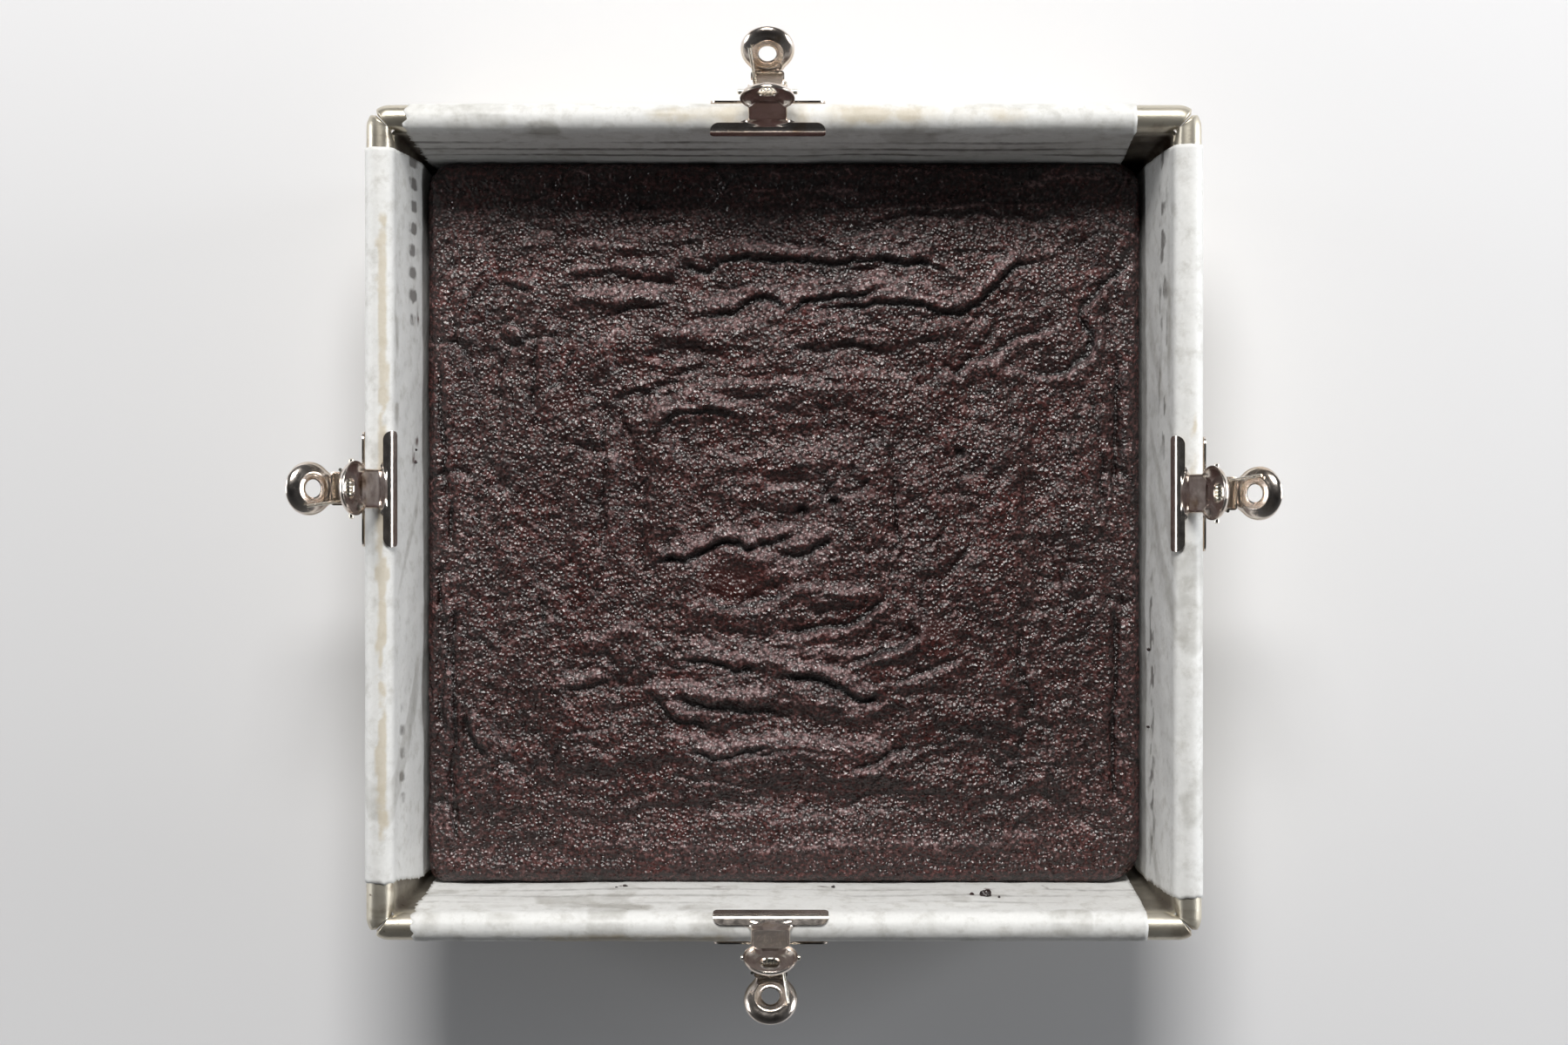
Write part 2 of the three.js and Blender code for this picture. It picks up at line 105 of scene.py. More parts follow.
def noise(x, y, seed):
    """Smooth noise, -1 to 1, with one lump to each unit of x and y."""
    i, j = np.floor(x), np.floor(y)
    u, v = smooth(0, 1, x - i), smooth(0, 1, y - j)
    low = mix(lattice(i, j, seed), lattice(i + 1, j, seed), u)
    high = mix(lattice(i, j + 1, seed), lattice(i + 1, j + 1, seed), u)
    return mix(low, high, v)


def rough(x, y, seed, octaves=3, fall=0.5):
    """Noise with finer noise on it."""
    total = np.zeros_like(x)
    for octave in range(octaves):
        total += fall**octave * noise(x * 2**octave, y * 2**octave, seed + octave)
    return total


def grain_noise(x, y, long, short, upright, seed):
    """Noise drawn out along X where upright is 0, and along Y where it is 1."""
    level = noise(x / long, y / short, seed)
    return mix(level, noise(x / short, y / long, seed + 20), upright)


def wander(a, b, seed):
    """A coordinate pushed about a little, so that straight lines turn crooked."""
    return a + 1.1 * noise(a / 5.5, b / 5.5, seed) + 0.45 * noise(a / 1.8, b / 1.8, seed + 7)


def line_distance(x, y, line):
    """Distance from x, y to a line given as x, y, x, y, how far along the line the nearest place is
    (0 to 1), and 1 or -1 for the side of the line."""
    points = list(zip(line[::2], line[1::2]))
    best = np.full(x.shape, 1e9)
    along = np.zeros_like(x)
    side = np.zeros_like(x)
    steps = len(points) - 1
    for k in range(steps):
        (x1, y1), (x2, y2) = points[k], points[k + 1]
        dx, dy = x2 - x1, y2 - y1
        t = np.clip(((x - x1) * dx + (y - y1) * dy) / (dx * dx + dy * dy), 0, 1)
        distance = np.hypot(x - x1 - t * dx, y - y1 - t * dy)
        nearer = distance < best
        best = np.where(nearer, distance, best)
        along = np.where(nearer, (k + t) / steps, along)
        cross = dx * (y - y1) - dy * (x - x1)
        side = np.where(nearer, np.sign(cross), side)
    return best, along, side


# ---- meshes


def circle(sides):
    """Cosine and sine of each step round a circle."""
    angles = [2 * pi * k / sides for k in range(sides)]
    return [(cos(angle), sin(angle)) for angle in angles]


def quarter_turned(x, y, quarter):
    """A point turned about the pan's middle by quarter turns."""
    c, s = round(cos(quarter * pi / 2)), round(sin(quarter * pi / 2))
    return x * c - y * s, x * s + y * c


def unit_tangents(line):
    """The direction of a line at each of its points."""
    tangents = np.gradient(line, axis=0)
    return tangents / np.linalg.norm(tangents, axis=1)[:, None]


def grid_faces(rows, columns, closed=False):
    """Faces of a grid of rows by columns of points; closed joins the last column to the first."""
    faces = []
    for row in range(rows - 1):
        start, end = row * columns, (row + 1) * columns
        for column in range(columns if closed else columns - 1):
            after = (column + 1) % columns
            faces.append((start + column, start + after, end + after, end + column))
    return faces


def tube_faces(rows, sides):
    """Faces of a tube made of rings of points, with a flat face over each end."""
    last = (rows - 1) * sides
    ends = [tuple(range(sides)), tuple(range(last, last + sides))]
    return grid_faces(rows, sides, closed=True) + ends


def place(part, matrix):
    """A (points, faces) part moved by a matrix."""
    points, faces = part
    moved = np.asarray(points, float) @ np.array(matrix.to_3x3()).T
    return moved + np.array(matrix.to_translation()), faces


def add_object(name, data):
    """An object made from data and put in the scene."""
    made = bpy.data.objects.new(name, data)
    scene.collection.objects.link(made)
    return made


def make_piece(name, parts, material, body=ROOT, replaces=(), sharp=None):
    """One object from (points in mm, faces) parts, riding on a body."""
    vertices, faces = [], []
    for points, part_faces in parts:
        first = len(vertices)
        vertices.extend(np.asarray(points, float).reshape(-1, 3).tolist())
        faces.extend(tuple(first + i for i in face) for face in part_faces)
    mesh = bpy.data.meshes.new(name)
    mesh.from_pydata((np.array(vertices) * MM).tolist(), [], faces)
    build = bmesh.new()
    build.from_mesh(mesh)
    bmesh.ops.remove_doubles(build, verts=build.verts, dist=1e-6)
    bmesh.ops.recalc_face_normals(build, faces=build.faces)
    build.to_mesh(mesh)
    build.free()
    mesh.materials.append(material)
    mesh.polygons.foreach_set("use_smooth", [True] * len(mesh.polygons))
    if sharp is not None:
        mesh.set_sharp_from_angle(angle=radians(sharp))
    piece = add_object(name, mesh)
    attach(piece, body)
    if replaces:
        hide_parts(*replaces)
    return piece


def sweep(path, radius, sides=12):
    """A closed round tube along a path of points."""
    path = np.asarray(path, float)
    tangents = unit_tangents(path)
    # any direction that the wires don't run in will do to start the rings from
    normal = np.cross(tangents[0], [0.31, 0.77, 0.55])
    normal /= np.linalg.norm(normal)
    points = []
    for centre, tangent in zip(path, tangents):
        normal = normal - tangent * np.dot(normal, tangent)
        normal /= np.linalg.norm(normal)
        across = np.cross(tangent, normal)
        points += [centre + radius * (c * normal + s * across) for c, s in circle(sides)]
    return points, tube_faces(len(path), sides)


def turned(profile, sides):
    """A solid of revolution about Z from (radius, height) points; a radius of 0 closes it."""
    points = [(radius * c, radius * s, height) for radius, height in profile for c, s in circle(sides)]
    return points, grid_faces(len(profile), sides, closed=True)


def thick_sheet(inner, outer, rows, columns):
    """A closed skin from two grids of points, one for each face of a sheet."""
    count = rows * columns
    faces = grid_faces(rows, columns)
    faces += [tuple(count + i for i in reversed(face)) for face in faces]
    edge = list(range(columns))
    edge += [row * columns + columns - 1 for row in range(1, rows)]
    edge += [(rows - 1) * columns + k for k in range(columns - 2, -1, -1)]
    edge += [row * columns for row in range(rows - 2, 0, -1)]
    for here, there in zip(edge, edge[1:] + edge[:1]):
        faces.append((here, there, count + there, count + here))
    return np.vstack([np.reshape(inner, (count, 3)), np.reshape(outer, (count, 3))]), faces


# ---- materials


def add_node(tree, kind, inputs=None, **settings):
    """A node with its settings, and with each input linked to a socket or set to a value."""
    node = tree.nodes.new("ShaderNode" + kind)
    for key, value in settings.items():
        setattr(node, key, value)
    for key, value in (inputs or {}).items():
        if isinstance(value, bpy.types.NodeSocket):
            tree.links.new(value, node.inputs[key])
        else:
            node.inputs[key].default_value = value
    return node


class Shade:
    """A Principled material whose colour is built in layers. Sizes are in metres."""

    def __init__(self, name, ground=(0, 0, 0), **values):
        self.material = bpy.data.materials.new(name)
        self.material.use_nodes = True
        self.tree = self.material.node_tree
        self.shader = self.tree.nodes["Principled BSDF"]
        self.place = self.node("TexCoord").outputs["Object"]
        self.base = colour(ground)
        for key, value in values.items():
            self.shader.inputs[key.replace("_", " ")].default_value = value

    def node(self, kind, inputs=None, **settings):
        return add_node(self.tree, kind, inputs, **settings)

    def noise(self, scale, detail=3.0, roughness=0.55, vector=None):
        inputs = {"Vector": vector or self.place, "Scale": scale, "Detail": detail, "Roughness": roughness}
        return self.node("TexNoise", inputs).outputs["Fac"]

    def span(self, value, low, high, to_low=0.0, to_high=1.0):
        """A value's range stretched to another, and cut off at its ends."""
        inputs = {"Value": value, "From Min": low, "From Max": high, "To Min": to_low, "To Max": to_high}
        return self.node("MapRange", inputs).outputs["Result"]

    def times(self, a, b):
        return self.node("Math", {0: a, 1: b}, operation="MULTIPLY").outputs[0]

    def layer(self, share, tint):
        """Lays a colour over those below it, as thick as its share."""
        inputs = {"Factor": share, "A": self.base, "B": colour(tint)}
        self.base = self.node("Mix", inputs, data_type="RGBA").outputs["Result"]

    def mask(self, name):
        return self.node("Attribute", attribute_name=name).outputs["Fac"]

    def bump(self, height, distance, strength=1.0, normal=None):
        inputs = {"Height": height, "Distance": distance, "Strength": strength}
        if normal:
            inputs["Normal"] = normal
        return self.node("Bump", inputs).outputs["Normal"]

    def done(self, roughness, normal):
        """The material, with its layers, roughness and bumps linked to the shader."""
        for key, value in (("Base Color", self.base), ("Roughness", roughness), ("Normal", normal)):
            self.tree.links.new(value, self.shader.inputs[key])
        return self.material


def colour(tint):
    """An sRGB colour, 0 to 255, as linear RGBA."""
    channels = [c / 255 for c in tint]
    return [c / 12.92 if c <= 0.04045 else ((c + 0.055) / 1.055) ** 2.4 for c in channels] + [1.0]


def set_mask(piece, name, values):
    """A value for each vertex, which a material reads by its name."""
    attribute = piece.data.attributes.new(name, "FLOAT", "POINT")
    attribute.data.foreach_set("value", np.asarray(values, np.float32))


def points_of(piece):
    """The piece's vertices in mm, as three arrays."""
    flat = np.zeros(len(piece.data.vertices) * 3)
    piece.data.vertices.foreach_get("co", flat)
    return (flat.reshape(-1, 3) / MM).T


def pan_metal():
    shade = Shade("pan_metal", (196, 188, 170), Metallic=0.85)
    cloud = shade.noise(45, 4)
    shade.layer(cloud, (220, 214, 200))
    drawn_out = shade.node("Mapping", {"Vector": shade.place, "Scale": (30, 500, 500)})
    streak = shade.noise(1.0, 3, vector=drawn_out.outputs["Vector"])
    shade.layer(shade.span(streak, 0.55, 0.8, 0, 0.5), (150, 138, 118))
    patches = shade.span(shade.noise(28, 3), 0.5, 0.62)
    shade.layer(shade.times(shade.span(shade.noise(420, 2), 0.66, 0.74), patches), (84, 58, 40))
    # tarnish baked on near the rim, and old batter in the corner folds, darkened further with painted shade
    height = shade.node("SeparateXYZ", {"Vector": shade.place}).outputs["Z"]
    tarnish = shade.span(shade.noise(95, 4), 0.54, 0.7, 0, 0.6)
    shade.layer(shade.times(tarnish, shade.span(height, 0.042, 0.05)), (122, 96, 70))
    batter_and_shade = shade.span(shade.noise(130, 4), 0.3, 0.6, 0.55, 1.0)
    shade.layer(shade.times(shade.mask("fold"), batter_and_shade), (78, 62, 50))
    return shade.done(shade.span(cloud, 0.3, 0.7, 0.28, 0.46), shade.bump(shade.noise(2200, 2), 0.00004))


def baking_paper():
    shade = Shade("baking_paper", (224, 224, 222), Specular_IOR_Level=0.35)
    fibre = shade.noise(900, 4)
    shade.layer(shade.noise(60, 3), (236, 236, 234))
    shade.layer(shade.span(fibre, 0.35, 0.75, 0, 0.3), (210, 210, 207))
    shade.layer(shade.span(shade.noise(210, 5, 0.65), 0.5, 0.7, 0, 0.65), (192, 190, 184))
    ragged = shade.span(shade.noise(240, 4), 0.3, 0.6, 0.55, 1.25)
    for name, tint, strength in (
        ("ribs", (102, 97, 94), 0.8),
        ("grease", (158, 155, 146), 0.55),
        ("oil", (196, 182, 154), 0.6),
        ("smear", (70, 30, 22), 0.95),
    ):
        mark = shade.times(shade.mask(name), ragged)
        shade.layer(shade.span(mark, 0.15, 0.8, 0, strength), tint)
    wrinkle = shade.bump(shade.noise(130, 3), 0.0006, 0.6)
    # greased paper is glossier
    roughness = shade.span(shade.mask("grease"), 0.2, 0.8, 0.52, 0.25)
    return shade.done(roughness, shade.bump(fibre, 0.00006, 0.7, wrinkle))


def brownie_crumb():
    shade = Shade("brownie_crumb", (66, 36, 34), Specular_IOR_Level=0.7)
    patch, fleck, facing = shade.noise(62, 4), shade.noise(880, 2, 0.5), shade.mask("facing")
    shade.layer(shade.span(patch, 0.3, 0.7), (84, 49, 46))
    shade.layer(shade.span(shade.noise(75, 3), 0.5, 0.68, 0, 0.65), (96, 39, 34))
    shade.layer(shade.span(fleck, 0.4, 0.56, 0, 0.85), (20, 11, 10))
    # painted light and shade: slopes turned from the window are painted dark, and on the others the grey sugar
    # specks are laid thicker as painted glints, with a painted highlight on the crests that face the window
    shade.layer(shade.span(facing, 0.45, 0.05, 0, 0.7), (24, 13, 12))
    cover = shade.times(shade.span(patch, 0.36, 0.62, 0.15), shade.span(facing, 0.35, 0.85, 0.14, 1.25))
    shade.layer(shade.times(shade.span(fleck, 0.42, 0.33), cover), (158, 129, 128))
    lit_crest = shade.times(shade.span(facing, 0.6, 1.0, 0, 0.85), shade.span(fleck, 0.56, 0.38, 0.15))
    shade.layer(lit_crest, (136, 110, 110))
    # painted shade in the creases, folds, pits, the crack along the sides and round the button
    shade.layer(shade.span(shade.mask("hollow"), 0.1, 0.7, 0, 0.85), (9, 5, 5))
    shade.layer(shade.span(shade.mask("raw"), 0.1, 0.9, 0, 0.6), (66, 27, 23))
    lumps = shade.bump(shade.noise(230, 3), 0.0012)
    grains = shade.node("TexVoronoi", {"Vector": shade.place, "Scale": 950}).outputs["Distance"]
    roughness = shade.span(shade.noise(300, 3), 0.35, 0.65, 0.26, 0.44)
    return shade.done(roughness, shade.bump(grains, 0.00042, 1.0, lumps))


def nickel(name, bright, gloss):
    """Plated steel with a tarnish. gloss is the least and the most roughness."""
    shade = Shade(name, bright, Metallic=1.0)
    shade.layer(shade.span(shade.noise(190, 4, 0.6), 0.45, 0.75, 0, 0.6), (190, 172, 150))
    shade.layer(shade.span(shade.noise(120, 3), 0.6, 0.75, 0, 0.7), (176, 134, 76))
    roughness = shade.span(shade.noise(500, 3), 0.3, 0.7, *gloss)
    return shade.done(roughness, shade.bump(shade.noise(900, 3), 0.00005, 0.5))


PAN_METAL = pan_metal()
BAKING_PAPER = baking_paper()
BROWNIE_CRUMB = brownie_crumb()
CLIP_PLATE = nickel("clip_plate", (232, 222, 214), (0.15, 0.24))
SPRING_WIRE = nickel("spring_wire", (236, 232, 222), (0.18, 0.28))

# ---- pan

CORNER = 1.0  # inner radius of the folded corners
TAPER = 8.0  # ribs die away over this length next to the corners
WALL_FOOT = 0.6  # height of the walls' outer foot over the ribs that the pan stands on


def rib(distance):
    """The rib's height across the sheet, 0 to 1."""
    return 0.5 + 0.5 * np.cos(2 * pi * distance / RIB_PITCH)


def wall_ring(z, outside):
    """Points round the pan at a height, anticlockwise from the front end of the right wall.
    outside is 0 on the sheet's inner face and 1 on its outer face."""
    half = wall_half(z, -SHEET * outside)
    radius = CORNER + SHEET * outside
    straight = half - radius
    level = rib((z - SHEET) / cos(WALL_TILT))
    corner = [step / 4 * pi / 2 for step in (1, 2, 3)]
    ring = []
    for quarter in range(4):
        # upright ribs need more points along the wall than level ones
        upright = quarter % 2 == 0
        along = np.linspace(-straight, straight, 165 if upright else 26)
        ribs = rib(along) if upright else level
        out = half - ribs * RIB_HEIGHT * smooth(0, TAPER, straight - np.abs(along))
        side = list(zip(out, along))
        side += [(straight + radius * cos(a), straight + radius * sin(a)) for a in corner]
        ring += [(*quarter_turned(x, y, quarter), z) for x, y in side]
    return ring


def pan_sheet():
    """The folded sheet: ribbed walls and floor. Ribs run across the pan, so they stand upright on the
    left and right walls and lie level on the front and back walls."""
    heights = np.linspace(SHEET, BEAD_Z, 44)
    rings = [wall_ring(z, 1) for z in [WALL_FOOT, *heights[1:]]]
    rings += [wall_ring(z, 0) for z in heights[::-1]]
    sheets = [(sum(rings, []), grid_faces(len(rings), len(rings[0]), closed=True))]
    for level, outside in ((0.0, 1), (SHEET, 0)):
        # the underside is ribbed and turns up at its edges, and the face under the paper is flat
        half = wall_half(WALL_FOOT if outside else SHEET, -SHEET * outside) + 0.02
        xs, ys = np.linspace(-half, half, 3), np.linspace(-half, half, 330)
        ribs = np.minimum(1 - rib(ys), 0.6) * RIB_HEIGHT
        turned_up = 0.5 * (1 - smooth(0, 1.2, half - np.abs(ys)))
        points = [(x, y, z) for y, z in zip(ys, level + outside * (ribs + turned_up)) for x in xs]
        sheets.append((points, grid_faces(len(ys), len(xs))))
    return sheets


def bead_side(quarter):
    """The rolled rim along one side. Its two ends turn in and round off into the mitred corner seam."""
    turn = BEAD_RADIUS * sqrt(0.5)
    straight = BEAD - turn
    bends = []
    for t in np.linspace(0, 1, 16):
        bends.append((t * (pi / 4 - 0.03), 1 - 0.3 * smooth(0.72, 1, t) ** 2))
    # each station is (-1, 0 or 1 for its end, place along the side or angle of the bend, scale)
    path = [(-1, *bend) for bend in bends[::-1]]
    path += [(0, along, 1) for along in np.linspace(-straight, straight, 60)[1:-1]]
    path += [(1, *bend) for bend in bends]
    sides = 28
    points = []
    for end, value, scale in path:
        for c, s in circle(sides):
            across = BEAD_RADIUS * scale * c
            x, y = value, BEAD + across
            if end:
                reach = max(0.02, turn + across)
                x = end * (straight + reach * sin(value))
                y = straight + reach * cos(value)
            points.append((x, y, BEAD_Z + BEAD_RADIUS * scale * s))
    return place((points, tube_faces(len(path), sides)), Matrix.Rotation(quarter * pi / 2, 4, "Z"))


def corner_fold(sign_x, sign_y):
    """The spare triangle of sheet at a corner, folded flat against the outside of a front or back wall."""
    low, high = 1.6, BEAD_Z - 3.2
    thick, edge_round = 1.3, 0.7
    count = 26
    inner, outer = [], []
    for i in range(count):
        t = i / (count - 1)
        z = mix(low, high, t)
        wide = mix(0.8, high - low, t)
        skin = wall_half(z, -SHEET)
        for j in range(count):
            share = j / (count - 1)
            x = skin - 0.6 - wide * share
            swell = RIB_HEIGHT * 0.7 * float(rib(x)) * min(1.0, share * 6)
            edge = min(share, 1 - share) * wide
            round_off = thick * min(1.0, sqrt(max(0.0, edge) / edge_round))
            inner.append((sign_x * x, sign_y * (skin - 0.35), z))
            outer.append((sign_x * x, sign_y * (skin + 0.05 + round_off * 0.75 + swell * 0.4), z))
    return thick_sheet(inner, outer, count, count)


def build_pan():
    parts = pan_sheet()
    parts += [bead_side(quarter) for quarter in range(4)]
    parts += [corner_fold(x, y) for x in (-1, 1) for y in (-1, 1)]
    piece = make_piece("pan_folded_sheet", parts, PAN_METAL, replaces=["pan"], sharp=50)
    x, y, z = points_of(piece)
    far, near = np.maximum(np.abs(x), np.abs(y)), np.minimum(np.abs(x), np.abs(y))
    inner_face = smooth(0.6, 0.3, far - wall_half(z)) * smooth(BEAD_Z, BEAD_Z - 4, z)
    # old batter and painted shade on the corners' inner faces, more at the back corners
    set_mask(piece, "fold", inner_face * smooth(88, 100, near) * np.where(y > 0, 1, 0.6))


build_pan()

# ---- paper strips


STRIP_HALF = 99.6  # half a strip's width where it lies on the floor
STRIP_BEND = 2.2  # radius of its bend from floor to wall
STRIP_OFF = 0.22  # how far it stands off the rolled rim
STRIP_END = radians(-34)  # where it stops outside the rim, from level
STEP = 1.0  # spacing of the stations where the paper shows


def strip_run(floor_lift):
    """Stations along a strip from the floor's middle to its end outside the rim, for the +run side.
    Each is (run, height, facing run, facing height, climb 0 to 1 to the rim, over the rim 0 to 1)."""
    base_z = SHEET + floor_lift
    centre_z = base_z + STRIP_BEND
    centre_run = wall_half(centre_z, 0.35 + STRIP_BEND)
    stations = [(run, base_z, 0.0, 1.0, 0.0, 0.0) for run in np.linspace(0, centre_run, 6)[:-1]]
    for angle in np.linspace(-pi / 2, -WALL_TILT, 5):
        c, s = cos(angle), sin(angle)
        stations.append((centre_run + STRIP_BEND * c, centre_z + STRIP_BEND * s, -c, -s, 0.0, 0.0))
    start_run, start_z = stations[-1][:2]
    reach = BEAD_RADIUS + STRIP_OFF
    first = pi - WALL_TILT
    end_run, end_z = BEAD + reach * cos(first), BEAD_Z + reach * sin(first)
    hidden_top = CRUST - 4
    for z in [*np.linspace(start_z, hidden_top, 4)[1:], *np.arange(hidden_top + STEP, end_z, STEP)]:
        climb = (z - start_z) / (end_z - start_z)
        run = mix(start_run, end_run, climb)
        stations.append((run, z, -cos(WALL_TILT), sin(WALL_TILT), climb, 0.0))
    count = int((first - STRIP_END) * reach / STEP)
    for k in range(count + 1):
        angle = mix(first, STRIP_END, k / count)
        c, s = cos(angle), sin(angle)
        stations.append((BEAD + reach * c, BEAD_Z + reach * s, c, s, 1.0, k / count))
    return stations


def jag(position, seed, size):
    """A torn, toothed edge: how far it juts at each place along the strip."""
    saw = np.abs(((position / 3.1 + 0.35 * noise(position / 7, position * 0, seed)) % 1) - 0.5) * 2
    return size * (saw - 0.5) + size * 0.6 * noise(position / 1.7, position * 0 + 3, seed)


def paper_strip(floor_lift, edges, jagged, seed, quarter):
    """A strip along +X, turned by quarter turns. edges holds, for the -X and +X ends, the low and high
    edge at the crust and at the rim; jagged says how torn each of the two long edges is."""
    half = strip_run(floor_lift)
    run = [[-s[0], s[1], -s[2], *s[3:], 0] for s in half[::-1]] + [[*s, 1] for s in half[1:]]
    # each column is an upright array, so that it spreads over the strip's width
    at, z, face_x, face_z, climb, over, end = np.array(run).T[:, :, None]
    ends = np.array(edges)[end.astype(int)[:, 0]]
    rise = smooth(CRUST, PAN_HEIGHT - 4, z)
    held = smooth(SHEET + 4, CRUST, z)
    arc = at + np.copysign(over * 14 + z, at)
    low, high = [
        mix(sign * STRIP_HALF, mix(ends[:, 0, k : k + 1], ends[:, 1, k : k + 1], rise), held)
        + jag(arc, seed + 5 * k, jagged[k]) * held
        for k, sign in enumerate((-1, 1))
    ]
    columns = 196
    across = mix(low, high, np.linspace(0, 1, columns))
    wave = 0.35 + 0.35 * noise(across / 23, arc / 19, seed + 1) + 0.12 * noise(across / 6, arc / 7, seed + 2)
    lift = np.clip(wave, 0.0, 2) * held * smooth(0, 0.25, 1 - climb)
    lift += 0.07 * (1 + noise(across / 9, arc / 5, seed + 3)) * np.minimum(1, over * 6)
    middle = np.stack([at + face_x * lift, across, z + face_z * lift], axis=-1)
    skin = np.stack([face_x, face_x * 0, face_z], axis=-1) * PAPER / 2
    part = thick_sheet(middle + skin, middle - skin, len(run), columns)
    return place(part, Matrix.Rotation(quarter * pi / 2, 4, "Z"))


def spot(x, y, centre_x, centre_y, length, width, angle=0.0):
    """A soft oval mark, 1 at its middle."""
    c, s = cos(radians(angle)), sin(radians(angle))
    dx, dy = x - centre_x, y - centre_y
    return np.exp(-(((dx * c + dy * s) / length) ** 2) - ((dy * c - dx * s) / width) ** 2)


def stain(piece):
    """Grease, oil and chocolate on the paper, where it shows between the crust and the rim."""
    x, y, z = points_of(piece)
    wall = smooth(CRUST - 2, CRUST + 2, z) * (1 - smooth(BEAD_Z - 5, BEAD_Z - 1, z))
    on_x = np.abs(x) > np.abs(y)
    side = np.where(on_x, y, x)
    climb = (z - SHEET) / cos(WALL_TILT)
    ragged = 0.75 + 0.5 * rough(side / 14, z / 9, 71)

    # grease in the hollows between the pan's ribs, level on two walls and upright on the others
    level = smooth(0.5, 0.95, rib(climb)) * ~on_x * wall
    level *= np.where(y > 0, 1.0, 0.5) * np.clip(0.75 + 0.9 * noise(x / 30, z / 3, 15), 0, 1.1)
    left_marks = bell(z - 36, 3.4) * smooth(48, 56, y) + 0.7 * bell(z - 47, 3) * bell(y + 66, 16)
    broken = 0.25 + 0.9 * smooth(-0.5, 0.3, noise(side / 3.2, z / 2.4, 18))
    upright = smooth(0.3, 0.75, rib(side)) * ((x < 0) & on_x) * wall
    upright *= np.clip(left_marks * 1.9 * ragged * broken, 0, 1.3) + 0.06
    strokes = smooth(0.05, 0.3, noise(y / 4.6, z / 2.1, 16)) * bell(z - 45, 4.5) * smooth(8, 30, y)
    strokes += smooth(0.1, 0.35, noise(y / 3.2, z / 2.0, 17)) * bell(z - 33, 3.0) * smooth(0, 30, -y)
    strokes *= ((x > 0) & on_x) * wall
    set_mask(piece, "ribs", np.clip(level * 0.75 + upright + 0.85 * strokes, 0, 1.2))

    grease = 0.5 * smooth(0.35, 0.75, rough(x / 16, y / 16 + z / 12, 12)) * smooth(CRUST, CRUST + 6, z)
    grease += (y > RIM_HALF - 9) * 0.5 * bell(z - 55.5, 2.5) * smooth(-0.1, 0.4, noise(x / 11, y / 3, 8))
    grease += (x < 0) * 0.8 * spot(y, z, 40, 52, 30, 2.2) * smooth(-0.2, 0.3, noise(y / 6, z / 3, 9))
    grease += (x > 0) * 0.8 * ragged * (spot(y, z, 62, 50, 26, 2.0) + spot(y, z, 52, 44, 12, 1.6, 8))
    grease += (y < -100) * 0.8 * spot(x, z, -45, 50, 40, 3.0) * smooth(-0.3, 0.3, noise(x / 8, z / 4, 10))
    set_mask(piece, "grease", np.clip(grease, 0, 1))

    outside = np.abs(np.where(on_x, x, y)) - BEAD
    oil = (x < -100) * bell(outside + 1.2, 1.3) * smooth(-98, -80, y) * (1 - smooth(70, 90, y))
    oil += (y > 100) * ragged * bell(outside - 0.5, 2.6) * smooth(-42, -30, x) * (1 - smooth(60, 74, x))
    oil += (y < -100) * bell(outside - 3.4, 1.5) * smooth(-70, -60, x) * (1 - smooth(-20, -8, x))
    oil += (x > 100) * 0.4 * bell(outside - 0.8, 1.2) * bell(y - 20, 26)
    blotch = smooth(0.3, 0.6, 0.85 * oil + 0.4 * rough(side / 7, outside / 1.6, 30)) * smooth(0.05, 0.3, oil)
    set_mask(piece, "oil", np.where(on_x, blotch, oil * (0.8 + 0.6 * noise(side / 5, z / 2, 30))))

    smear = spot(y, z, 18, 36, 3.4, 1.8) + 0.8 * spot(y, z, 23, 33, 1.5, 2.4) + 0.7 * spot(y, z, 59, 31, 5, 1.1)
    smear *= x < 0
    for at_x, at_z in ((-46, 29.5), (-18, 30.5), (12, 29), (52, 38), (58, 33), (74, 30)):
        smear += (y < 0) * 0.7 * spot(x, z, at_x, at_z, 2.2, 0.8, at_x)
    set_mask(piece, "smear", np.clip(smear * (0.7 + 0.8 * noise(side / 1.6, z / 1.6, 33)), 0, 1))


FRONT_BACK_EDGES = [[(-99.1, 100.4), (-98.8, 101.2)], [(-96.4, 101.6), (-95.9, 102.9)]]
LEFT_RIGHT_EDGES = [[(-101.0, 102.6), (-98.1, 102.0)], [(-101.9, 102.2), (-102.1, 102.8)]]
# name, lift over the floor, edges at the -run and +run ends, how jagged, seed and quarter turns
STRIPS = [
    ("front_back", 0.3, FRONT_BACK_EDGES, (0.12, 0.9), 21, 1),
    ("left_right", 0.75, LEFT_RIGHT_EDGES, (0.5, 0.12), 57, 0),
]
for ends, *strip in STRIPS:
    part = paper_strip(*strip)
    replaced = ["paper_" + ends]
    stain(make_piece("paper_strip_" + ends, [part], BAKING_PAPER, replaces=replaced))

# ---- brownie

